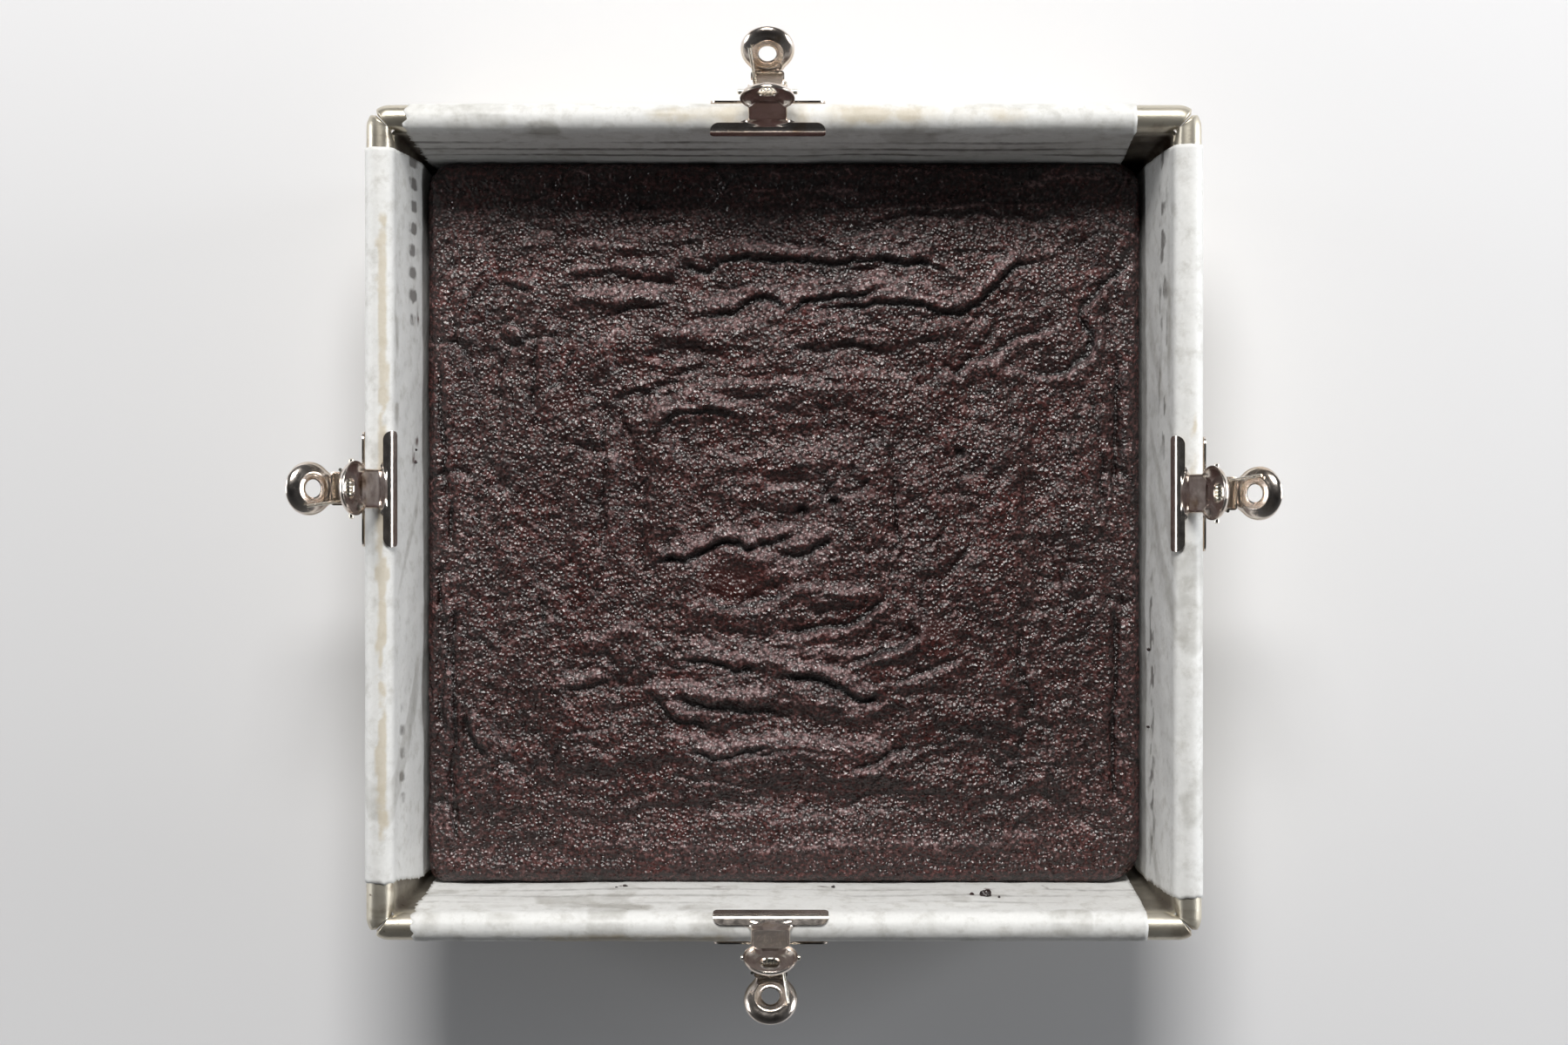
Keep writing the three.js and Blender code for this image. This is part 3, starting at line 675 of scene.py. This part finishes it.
# Creases where one pass of the spreading knife ends on the last: depth, width and lip, then the line
# as x, y, x, y, all in mm.
CREASES = [
    # back left
    (0.9, 0.8, 0.5, -31, 72, -24, 72, -16, 74, 1, 75, 15, 74, 19, 75, 30, 74, 39, 73, 46, 71),
    (0.6, 0.7, 0.5, -60, 69, -56, 70, -45, 70, -36, 69, -32, 68),
    (0.6, 0.6, 0.4, -49, 60, -43, 61, -35, 61),
    (0.9, 0.9, 0.6, -24, 59, -16, 59, -10, 62, -4, 63, 1, 62),
    (0.7, 0.7, 0.4, -80, 68, -75, 66, -72, 64),
    (0.6, 0.6, 0.3, -90, 60, -88, 65),
    (0.7, 0.7, 0.3, -99, 46, -98, 39, -97, 28, -96, 18, -96, 6),
    (0.7, 0.7, 0.3, -71, 55, -72, 45, -70, 31),
    (0.6, 0.7, 0.3, -51, 33, -51, 18, -52, 1, -51, -4, -53, -8),
    (0.5, 1.4, 0.4, -47, 35, -36, 38, -29, 40),
    (0.7, 0.8, 0.5, -35, 27, -30, 31, -22, 32, -14, 30),
    # back right
    (1.1, 0.9, 0.7, 1, 59, 5, 62, 16, 64, 26, 66),
    (0.9, 0.9, 0.7, 9, 60, 19, 62, 39, 61, 50, 60, 56, 62, 60, 66, 63, 70, 67, 73, 73, 75),
    (0.9, 0.9, 0.5, 98, 73, 92, 70, 86, 63, 85, 58, 87, 52, 85, 47, 81, 43, 73, 43),
    (0.7, 0.8, 0.5, 76, 55, 71, 54, 64, 51, 60, 48, 53, 47, 49, 43, 45, 45),
    (0.5, 0.7, 0.3, 37, 51, 42, 51, 46, 52),
    (0.5, 1.4, 0.3, 3, 49, 12, 49, 27, 49),
    (0.6, 0.7, 0.3, 87, 37, 89, 27, 90, 17, 90, 0),
    (0.6, 0.7, 0.3, 96, 28, 96, 14, 99, 9, 100, 1),
    (0.8, 0.6, 0.3, 32, 14, 33, 2, 31, -9),
    (0.5, 0.9, 0.4, 24, 85, 41, 87, 60, 88, 73, 85, 77, 88),
    (0.4, 0.9, 0.4, 8, 93, 22, 89),
    # front left
    (0.7, 0.7, 0.3, -97, -14, -98, -22, -96, -36, -98, -53, -95, -63),
    (0.6, 0.7, 0.3, -70, -20, -70, -26, -68, -32),
    (1.2, 0.9, 0.8, -36, -12, -31, -11, -28, -12, -24, -9, -19, -6, -15, -6, -11, -8, -6, -7),
    (0.9, 0.8, 0.6, -6, -7, 1, -5),
    (0.8, 0.9, -0.7, -24, -21, -18, -24, -11, -24, -5, -23, 1, -21),
    (0.8, 0.8, 0.6, -28, -39, -21, -40, -15, -42, -8, -42),
    (0.6, 0.6, 0.6, -62, -48, -57, -48, -49, -46),
    (0.9, 0.9, 0.6, -30, -51, -21, -54, -15, -53, 1, -56),
    (0.8, 0.8, 0.6, -38, -50, -34, -53, -31, -57, -26, -57, -22, -60),
    (0.8, 0.8, 0.6, -26, -65, -20, -67, -8, -66, -4, -65),
    (1.1, 0.8, 0.4, -92, -54, -89, -60, -85, -67),
    # front right
    (0.8, 0.8, 0.5, -1, -10, 7, -9, 13, -5),
    (0.9, 1.0, 0.7, 28, -22, 22, -27, 18, -29, 7, -31, 1, -32),
    (0.9, 0.9, 0.7, 37, -29, 37, -32, 32, -36, 25, -38, 18, -40),
    (0.5, 0.8, 0.4, 50, -38, 43, -42, 32, -45),
    (1.1, 0.9, 0.8, -1, -45, 9, -45, 16, -48, 22, -51, 27, -50),
    (0.8, 0.8, 0.6, 37, -65, 30, -66, 23, -70, 19, -71),
    (0.6, 0.7, 0.3, 65, -89, 68, -85),
    (0.6, 0.7, 0.3, 68, -30, 67, -42, 72, -56),
]
# Soft raised streaks that catch the light, and have a painted highlight too: height and width, then the line.
STREAKS = [
    (0.6, 2.2, -1, -18, 5, -19, 11, -21, 19, -21, 28, -21),
    (0.6, 2.0, -12, -39, 5, -38, 17, -38, 29, -38, 37, -34),
    (0.7, 2.4, -36, -47, -22, -48, -8, -49, 9, -53, 19, -54, 29, -53),
    (0.6, 2.2, -60, -34, -53, -35, -47, -31, -40, -31),
    (0.5, 2.6, -20, -68, 0, -64, 22, -66, 34, -64),
    (0.5, 3.0, -14, -10, -2, -13, 8, -12, 14, -9),
    (0.5, 2.4, -60, 64, -46, 66, -32, 64),
    (0.5, 2.6, 8, 69, 30, 68, 48, 66),
    (0.5, 2.6, -40, 29, -26, 33, -12, 34),
    (0.5, 2.2, 52, 41, 60, 43, 68, 42),
    (0.5, 3.2, -60, -92, -20, -94, 20, -93, 60, -92, 88, -90),
]
PITS = [(14.2, 5.7, 1.4, 1.9), (5.4, 3.0, 1.7, 2.4), (50.2, 19.6, 1.6, 1.6), (66, 27, 1.0, 0.8)]


def knife_marks(x, y, wander_x, wander_y, upright):
    """Ripples that are short across the slab's rings and long along them."""
    reach = (np.abs(x) ** 4 + np.abs(y) ** 4) ** 0.25
    ring = (np.abs(wander_x) ** 5 + np.abs(wander_y) ** 5) ** 0.2
    fade = smooth(4, 22, reach)
    ripples = np.zeros_like(x)
    for seed, short, long, height in ((11, 9.0, 44.0, 0.42), (12, 4.2, 24.0, 0.3), (13, 2.1, 12.0, 0.16)):
        ripples += height * grain_noise(wander_x, wander_y, long, short, upright, seed)
    turn = ring / 21 + np.arctan2(y, x) / (2 * pi)
    swirl = 0.4 * fade * np.cos(2 * pi * turn)
    middle = (1 - fade) * (0.5 * rough(x / 11, y / 7, 41) + 0.3 * noise(x / 3, y / 3, 44))
    return 1.9 * ripples + swirl + middle


def crust_relief(x, y):
    """Height of the crust over its mean level, and masks for the hollows' painted shade, rawer patches and the
    raised places painted lit.
    """
    wander_x = x + 3.0 * noise(x / 17, y / 17, 1) + 1.0 * noise(x / 5, y / 5, 2)
    wander_y = y + 3.0 * noise(x / 17, y / 17, 3) + 1.0 * noise(x / 5, y / 5, 4)
    upright = smooth(-12, 12, np.abs(x) - np.abs(y))
    height = 0.8 * rough(x / 46, y / 38, 5) + knife_marks(x, y, wander_x, wander_y, upright)
    height += 0.3 * rough(x / 3.6, y / 2.8, 6, 3, 0.6)
    # the front edge was smoothed last, so it is flatter
    flat = smooth(-80, -90, y)
    height = mix(height, 0.25 * rough(x / 24, y / 7, 7) + 0.12 * rough(x / 3.4, y / 2.0, 9), 0.75 * flat)

    # small folds where the batter dragged, and between them the creases drawn by the knife; both have painted
    # shade in their hollows, and each crease has a painted highlight on its raised lip
    shaded_hollows, lit_ridge_masks = [np.zeros_like(x)], [np.zeros_like(x)]
    for seed, short, long, depth in ((31, 12.0, 34.0, 0.7), (32, 6.0, 15.0, 0.5), (33, 9.0, 26.0, 0.6)):
        fold = bell(grain_noise(wander_x, wander_y, long, short, upright, seed), 0.055)
        fold *= smooth(0.0, 0.35, noise(x / 14, y / 11, seed + 5)) * (1 - 0.8 * flat)
        height -= depth * fold
        shaded_hollows.append(0.5 * fold)
    crooked = wander(x, y, 51), wander(y, x, 52)
    for depth, width, lip, *line in CREASES:
        distance, share, side = line_distance(*crooked, line)
        ends = mix(0.35, 1.0, smooth(0, 0.12, share) * smooth(0, 0.12, 1 - share))
        groove = bell(distance, width) * ends
        raised = bell(distance - 2.2, 2.0) * ends * smooth(0.2, 1.2, distance)
        height += 1.6 * lip * raised * np.where(side > 0, 1, -0.35) - 1.4 * depth * groove
        lit_ridge_masks.append(1.5 * lip * raised * (side > 0))
        shaded_hollows.append(groove * min(1, depth))
    crooked = wander(x, y, 53), wander(y, x, 54)
    for rise, width, *line in STREAKS:
        distance, share, _ = line_distance(*crooked, line)
        streak = bell(distance, width) * mix(0.3, 1, smooth(0, 0.2, share) * smooth(0, 0.2, 1 - share))
        height += 1.5 * rise * streak
        lit_ridge_masks.append(streak)
    # pits, with painted shade in them
    for pit_x, pit_y, radius, depth in PITS:
        pit = np.exp(-((np.hypot(x - pit_x, (y - pit_y) * 1.15) / radius) ** 4))
        height -= depth * pit
        shaded_hollows.append(pit)

    # the sides shrank from the paper and left a thin ridge with a crack along its inside; the crack has painted
    # shade and the ridge a painted highlight
    bank = np.abs(x) - 96.6 + 0.9 * noise(np.sign(x) * 3, y / 9, 75)
    shown = smooth(-0.35, 0.25, noise(np.sign(x) * 2, y / 17, 76)) * smooth(95, 88, np.abs(y))
    ridge, crack = bell(bank, 1.3) * shown, bell(bank + 2.3, 0.7) * shown
    height += ridge - crack
    lit_ridge_masks.append(0.5 * ridge)
    shaded_hollows.append(0.8 * crack)

    # a button of batter with painted shade round its edge, and the smooth hollow under the strongest fold
    button = spot(x, y, -77.4, 53.5, 3.9, 2.5, -36)
    button_edge = np.clip(1 - np.abs(button - 0.3) * 6, 0, 1)
    shaded_hollows.append(button_edge * 0.7)
    eye = spot(x, y, -15.5, -17, 8.5, 5.0, -12)
    height += 1.3 * smooth(0.25, 0.8, button) - 0.6 * button_edge - 1.1 * eye
    raw = np.clip(eye * 1.2 + spot(x, y, 44, -30.5, 6, 3.4) + 0.8 * spot(x, y, -62, 34, 5, 3), 0, 1)
    return height, np.maximum.reduce(shaded_hollows), raw, np.maximum.reduce(lit_ridge_masks)


CRUST_GRID = 300  # points along each side of the crust
SIDE_LEVELS = 8  # rows of points down the slab's sides
SIDE_GAP = 0.95  # from the slab's sides to the pan's walls
CORNER_RADII = {(1, 1): 7.0, (-1, 1): 7.0, (-1, -1): 5.0, (1, -1): 10.0}


def crust_grid(half_x, half_y):
    """A square grid whose corners are pulled in to their arcs, and each point's distance to its edge."""
    steps = np.linspace(-1, 1, CRUST_GRID)
    u, v = np.meshgrid(steps, steps, indexing="ij")
    x, y = u * half_x, v * half_y
    edge = np.minimum(half_x - np.abs(x), half_y - np.abs(y))
    for (sign_x, sign_y), radius in CORNER_RADII.items():
        inside_x, inside_y = half_x - radius, half_y - radius
        dx, dy = x * sign_x - inside_x, y * sign_y - inside_y
        corner = (dx > 0) & (dy > 0)
        pull = np.where(corner, np.maximum(dx, dy) / np.maximum(np.hypot(dx, dy), 1e-9), 1)
        x = np.where(corner, sign_x * (inside_x + dx * pull), x)
        y = np.where(corner, sign_y * (inside_y + dy * pull), y)
    return x, y, edge


def slab_sides(top, foot, half_x, half_y):
    """Rings of points down the slab's sides, from the ring round its crust to its foot."""
    x, y, top_z = top.T
    rings = []
    for level in range(1, SIDE_LEVELS + 1):
        t = level / SIDE_LEVELS
        z = mix(top_z, foot, t)
        half = wall_half(z, SIDE_GAP)
        tuck = 1.6 * smooth(0.93, 1.0, t) ** 2
        wobble = 0.22 * rough((x + y) / 4, z / 3, 63) * (1 - smooth(0.85, 1, t))
        inset = tuck - wobble + 0.15
        scale_x = np.minimum((half - mix(1.1, 0.0, t)) / half_x, 1) - inset / half_x
        scale_y = np.minimum(half / half_y, 1) - inset / half_y
        rings.append(np.stack([x * scale_x, y * scale_y, z], axis=1))
    return np.vstack(rings)


def build_brownie():
    """A grid over the crust, its rounded edge and its four sides down to the foot."""
    low, high = [np.array(corner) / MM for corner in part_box("brownie")]
    half_x, half_y = high[0] - 0.1, high[1] - 0.1
    x, y, edge = crust_grid(half_x, half_y)
    height = crust_relief(x, y)[0]
    ragged = 0.45 * rough(x / 6, y / 6, 61) + 0.25 * noise(x / 1.7, y / 1.7, 62)
    fall = smooth(0, 3.2, np.clip(edge + ragged * 0.8, 0, 9))
    z = CRUST + height * smooth(0, 5, edge) + 0.35 * bell(edge - 4.5, 2.5)
    z += 0.5 * ragged * bell(edge, 3) - 1.7 * (1 - fall) ** 2
    draw_in = 0.35 * (1 + ragged) * bell(edge, 1.0)
    x, y = x * (1 - draw_in / half_x), y * (1 - draw_in / half_y)
    points = np.stack([x, y, z], axis=-1).reshape(-1, 3)

    # the grid's outermost points, in order round it, carry on down the sides
    index = np.arange(CRUST_GRID**2).reshape(CRUST_GRID, CRUST_GRID)
    ring = [*index[:, 0], *index[-1, 1:], *index[-2::-1, -1], *index[0, -2:0:-1]]
    rows = [ring, *(np.arange(len(ring)) + len(points) + k * len(ring) for k in range(SIDE_LEVELS))]
    lookup = [int(i) for row in rows for i in row]
    faces = grid_faces(CRUST_GRID, CRUST_GRID)
    faces += [tuple(lookup[i] for i in face) for face in grid_faces(len(rows), len(ring), closed=True)]
    faces.append(tuple(lookup[-len(ring) :]))
    points = np.vstack([points, slab_sides(points[ring], low[2], half_x, half_y)])
    slab = [(points, faces)]
    piece = make_piece("brownie_slab", slab, BROWNIE_CRUMB, replaces=["brownie"])

    x, y, z = points_of(piece)
    _, hollow, raw, lit_ridges = crust_relief(x, y)
    # how much each place faces the window, over the back rim, for the painted light and shade: it is painted
    # lighter towards the middle and on the lit lips, streaks and ridges
    slope = crust_relief(x, y - 0.5)[0] - crust_relief(x, y + 0.5)[0]
    facing = np.clip(0.32 + 0.24 * bell(np.hypot(x, y + 4), 55) + slope + 0.4 * lit_ridges, 0, 1)
    top = smooth(CRUST - 3.5, CRUST - 2, z)
    for name, values in (("hollow", hollow), ("facing", facing), ("raw", raw)):
        set_mask(piece, name, values * top)


build_brownie()

# ---- crumbs on the paper


def crumb(centre, size, seed):
    """A rough lump on a ball's grid."""
    rows, sides = 9, 12
    points = []
    for i in range(rows):
        tilt = pi * i / (rows - 1)
        for c, s in circle(sides):
            direction = np.array([sin(tilt) * c, sin(tilt) * s, cos(tilt)])
            x, y, z = direction[:, None]
            lump = 1 + 0.35 * noise(x * 2.1 + seed, y * 2.1 + z * 1.7, 90) if 0 < i < rows - 1 else 1
            points.append(np.array(centre) + direction * np.array(size) * lump)
    return points, grid_faces(rows, sides, closed=True)


def on_wall(side, along, z, stand):
    """A place on the paper of a wall (0 right, 1 back, 2 left, 3 front), standing off it a little."""
    return (*quarter_turned(wall_half(z, 0.75) - stand, along, side), z)


# wall, place along it, height and size
CRUMBS = [
    (3, 56.5, 39.5, 1.5), (3, 52.5, 38.5, 0.6), (3, 60.0, 41.0, 0.4), (3, -45.0, 30.0, 0.7),
    (3, -47.5, 31.0, 0.4), (3, 14.0, 30.2, 0.5), (2, -17.0, 35.0, 0.6), (2, -20.5, 34.0, 0.4),
    (0, -36.0, 31.0, 0.6), (0, -58.0, 30.0, 0.5),
]
crumb_parts = [
    crumb(on_wall(side, along, z, size * 0.35), (size, size * 0.8, size * 0.75), k)
    for k, (side, along, z, size) in enumerate(CRUMBS)
]
make_piece("paper_crumbs", crumb_parts, BROWNIE_CRUMB)

# ---- hinge clips

# A clip's own frame: the pin along Y, the handles towards +X, the clip's middle plane at Z = 0.
CLIP_SHEET = 0.5
DISC_ANGLE = radians(13.5)
DISC_CENTRE = np.array([7.9, 0.0, 6.3])
DISC_RADIUS = 7.0
CUP_FLOOR = 2.5
NECK_HEIGHT = 4.7
JAW_LIP, JAW_BEND, JAW_ROOT = (-12.9, 4.55), (-10.4, 5.1), (-8.42, 3.61)
NECK_SHOULDER = (-5.4, NECK_HEIGHT)
NECK_END = 2.4
JAW_HALF = 15.7
NECK_HALF = 5.3
EAR_REACH = 1.9


def cut_corners(line, rounds):
    """Rounds the bends of a line by cutting its corners again and again."""
    line = [np.array(p, float) for p in line]
    for _ in range(rounds):
        cut = [line[0]]
        for a, b in zip(line, line[1:]):
            cut += [a * 0.82 + b * 0.18, a * 0.18 + b * 0.82]
        line = cut + [line[-1]]
    return line


def plate_from(line, widths):
    """A sheet bent along a line in X and Z, with its half width at each place."""
    columns = 25
    thick = CLIP_SHEET / 2
    inner, outer = [], []
    for (x, z), (tx, tz), width in zip(line, unit_tangents(line), widths):
        for y in np.linspace(-1, 1, columns) * width:
            inner.append((x + tz * thick, y, z - tx * thick))
            outer.append((x - tz * thick, y, z + tx * thick))
    return thick_sheet(inner, outer, len(line), columns)


def rounding(distance, radius):
    """How much narrower a plate is, this far from an end whose corners have this radius."""
    near = np.clip(1 - distance / radius, 0, 1)
    return radius * (1 - np.sqrt(1 - near**2))


def jaw():
    """The wide jaw: a short lip, a bend and a flat strip whose corners are round."""
    line = cut_corners([JAW_LIP, JAW_BEND, JAW_ROOT], 3)
    fine = []
    for a, b in zip(line, line[1:]):
        steps = max(1, int(np.linalg.norm(b - a) / 0.2))
        fine += [mix(a, b, k / steps) for k in range(steps)]
    fine.append(line[-1])
    fine = np.array(fine)
    lengths = np.concatenate([[0], np.cumsum(np.linalg.norm(np.diff(fine, axis=0), axis=1))])
    widths = JAW_HALF - rounding(lengths[-1] - lengths, 2.4) - rounding(lengths, 1.2)
    return plate_from(fine, widths)


def neck(half):
    """The neck: a raised channel that runs out on the jaw in an arc, and whose sides come down as
    ears round the pin."""
    xs = np.linspace(JAW_ROOT[0] - 0.9, NECK_END, 56)
    spine = [JAW_BEND, JAW_ROOT, (-6.6, 4.15), NECK_SHOULDER]
    spine_x, spine_z = zip(*spine)
    bend = 0.9
    across = 16
    ear_back, ear_front = -4.4, 3.2
    thick = CLIP_SHEET * 0.47
    outer, inner = [], []
    for x in xs:
        rise = max(0.0, x - 1.24) * tan(DISC_ANGLE)
        crown = float(np.interp(x, [xs[0], NECK_SHOULDER[0]], [4.29, NECK_HEIGHT])) + rise
        edge = float(np.interp(x, spine_x, spine_z)) + rise
        flare = half + rounding(x - JAW_ROOT[0] + 0.3, 2.2)
        shoulder = edge - bend
        bottom = shoulder
        if abs(x) < EAR_REACH:
            bottom = -sqrt(EAR_REACH**2 - x * x)
        elif ear_back < x < 0:
            bottom = mix(shoulder, 0, float(smooth(ear_back, -EAR_REACH, x)))
        elif x > 0:
            bottom = mix(0, shoulder, float(smooth(EAR_REACH, ear_front, x)))
        # up one side, round the bend, over the crown, and the same down the other side
        profile = [(-flare, mix(bottom, shoulder, k / 4)) for k in range(5)]
        for k in range(1, 5):
            angle = k / 4 * pi / 2
            profile.append((-flare + bend * (1 - cos(angle)), shoulder + bend * sin(angle)))
        for k in range(1, across):
            y = mix(-flare + bend, flare - bend, k / across)
            profile.append((y, mix(edge, crown, 1 - (y / (flare - bend)) ** 2)))
        profile += [(-y, z) for y, z in profile[:9]][::-1]
        for (y, z), before, after in zip(profile, profile[:1] + profile, profile[1:] + profile[-1:]):
            dy, dz = after[0] - before[0], after[1] - before[1]
            length = hypot(dy, dz) or 1
            ny, up = -dz / length, max(dy / length, 0)
            outer.append((x, y, z + thick * up))
            inner.append((x, y - ny * thick * 2 * (1 - up), z - thick * up))
    return thick_sheet(inner, outer, len(xs), len(profile))


def cup_profile():
    """The handle's section: a dished floor with an embossed ring, curling up to a round open edge."""
    thick = CLIP_SHEET / 2
    share = np.sin(np.linspace(0, 1, 22) * pi / 2)
    radii = mix(CUP_FLOOR, DISC_RADIUS, share)
    middle = 2.15 * (1 - np.sqrt(np.clip(1 - share**2.2, 0, 1)))
    middle += 0.3 * bell(radii - CUP_FLOOR, 0.35) - 0.16 * bell(radii - 4.35, 0.4)
    line = np.stack([radii, middle], axis=1)
    normal = unit_tangents(line)[:, ::-1] * [thick, -thick]
    below = line + normal
    above = (line - normal)[::-1]
    tip = line[-1] + thick * np.array([(cos(a), sin(a)) for a in (0.5, 1.57, 2.6)])
    return [tuple(p) for p in [*below, *tip, *above, below[0]]]


def handle_cup():
    """The round handle. Its curled edge dies away where the neck joins it."""
    sides = 72
    points = []
    profile = cup_profile()
    for radius, height in profile:
        flat = copysign(min(abs(height), CLIP_SHEET / 2), height)
        for k, (c, s) in enumerate(circle(sides)):
            kept = float(smooth(24, 46, abs(360 * k / sides - 180)))
            points.append((radius * c, radius * s, mix(flat, height, kept)))
    return points, grid_faces(len(profile), sides, closed=True)


def clip_half(half):
    tilt = Matrix.Translation(Vector(DISC_CENTRE)) @ Matrix.Rotation(-DISC_ANGLE, 4, "Y")
    return [jaw(), neck(half), place(handle_cup(), tilt)]


WIRE_RADIUS = 0.44
LEG_OFFSET, LEG_END = -3.2, (10.8, -4.8, 6.0)


def coil_path():
    """The spring: a leg along the inner half's handle, then turns about the pin."""
    radius, turns, pitch = 1.58, 6.5, 0.985
    path = cut_corners([LEG_END, (1.4, LEG_OFFSET, 1.95), (0.0, LEG_OFFSET, radius)], 3)
    for k in range(1, int(turns * 24) + 1):
        t = k / 24
        angle = (0.5 + 2 * t) * pi
        path.append(np.array([radius * cos(angle), LEG_OFFSET + t * pitch, radius * sin(angle)]))
    return path


def leg_path():
    """The spring's other leg, from the pin to the outer half's handle."""
    return [mix(np.array([0.9, LEG_OFFSET, 1.8]), np.array(LEG_END), k / 8) for k in range(9)]


def pin_profile():
    """The hinge pin's outline, with domed ends."""
    r, h = 0.72, 8.15
    end = [(0.0, h), (r * 0.6, h - 0.05), (r, h - 0.3)]
    return [(radius, -height) for radius, height in end] + end[::-1]


PIN = place(turned(pin_profile(), 24), Matrix.Rotation(pi / 2, 4, "X"))
FLIP = Matrix.Rotation(pi, 4, "X")
# name, node replaced, parts, whether it is on the outer handle, material and slot
CLIP_PIECES = [
    ("_inner_plate", "_inner", clip_half(NECK_HALF), False, CLIP_PLATE, "clip_plate"),
    ("_outer_plate", "_outer", clip_half(NECK_HALF - 0.8), True, CLIP_PLATE, "clip_plate"),
    ("_coil", "_spring", [sweep(coil_path(), WIRE_RADIUS)], False, SPRING_WIRE, "spring_wire"),
    ("_spring_leg", "_leg", [sweep(leg_path(), WIRE_RADIUS)], True, SPRING_WIRE, "spring_wire"),
    ("_hinge_pin", "_pin", [PIN], False, SPRING_WIRE, "spring_wire"),
]

for joint in frame["joints"]:
    clip = joint["name"].removesuffix("_hinge")
    pin_place = Vector(joint["pos_m"]) / MM
    # the hinge axis points back along the clip's own Y
    outward = Vector((0, 0, 1)).cross(Vector(joint["axis"]))
    # the clip's middle plane runs from the pin through the middle of the rolled rim
    lean = atan2(pin_place.z - BEAD_Z, pin_place.dot(outward) - BEAD)
    turn = atan2(outward.y, outward.x)
    stand = Matrix.Translation(pin_place) @ Matrix.Rotation(turn, 4, "Z") @ Matrix.Rotation(-lean, 4, "Y")
    for end, node, parts, on_handle, material, slot in CLIP_PIECES:
        matrix = stand @ FLIP if on_handle else stand
        make_piece(
            clip + end,
            [place(part, matrix) for part in parts],
            material,
            body=joint["child"] if on_handle else ROOT,
            replaces=[clip + node],
            sharp=40,
        )

# ---- floor, light and camera

floor_mesh = bpy.data.meshes.new("floor")
floor_mesh.from_pydata([(-3, -3, 0), (3, -3, 0), (3, 3, 0), (-3, 3, 0)], [], [(0, 1, 2, 3)])
floor_mesh.materials.append(Shade("floor_pale", Roughness=0.6, Base_Color=(0.8, 0.8, 0.815, 1)).material)
add_object("floor", floor_mesh)

world = bpy.data.worlds.new("studio")
scene.world = world
world.use_nodes = True
# the room is darker straight above than at its sides
direction = add_node(world.node_tree, "TexCoord").outputs["Generated"]
upward = add_node(world.node_tree, "SeparateXYZ", {0: direction}).outputs["Z"]
room = {"Value": upward, "From Min": 0.2, "From Max": 0.95, "To Min": 0.085, "To Max": 0.018}
glow = add_node(world.node_tree, "MapRange", room).outputs["Result"]
sky = world.node_tree.nodes["Background"]
sky.inputs["Color"].default_value = (0.95, 0.97, 1.0, 1)
world.node_tree.links.new(glow, sky.inputs["Strength"])


def area_light(name, place_m, aim_m, size_m, watts, tint):
    """A soft rectangular light that faces the point it aims at."""
    light = bpy.data.lights.new(name, "AREA")
    light.shape = "RECTANGLE"
    light.size, light.size_y = size_m
    light.energy = watts
    light.color = tint
    lamp = add_object(name, light)
    lamp.location = place_m
    lamp.rotation_euler = (Vector(aim_m) - Vector(place_m)).to_track_quat("-Z", "Y").to_euler()


# a window over the back of the table, and white cards either side that throw its light back
area_light("window", (-0.04, 1.0, 1.1), (0, 0, 0), (0.75, 0.5), 23.0, (1.0, 0.985, 0.96))
for card, side, watts in (("card_right", 1, 7.4), ("card_left", -1, 3.6)):
    area_light(card, (side * 1.05, 0.12, 0.25), (0, 0.05, 0.04), (0.6, 0.34), watts, (0.96, 0.98, 1.0))

CAMERA_OVER_RIM = 0.591
camera_data = bpy.data.cameras.new("camera")
camera_data.lens = 50
camera_data.sensor_width = 36
camera = add_object("camera", camera_data)
camera.location = (0, 0, PAN_HEIGHT * MM + CAMERA_OVER_RIM)
scene.camera = camera
scene.view_settings.view_transform = "Standard"
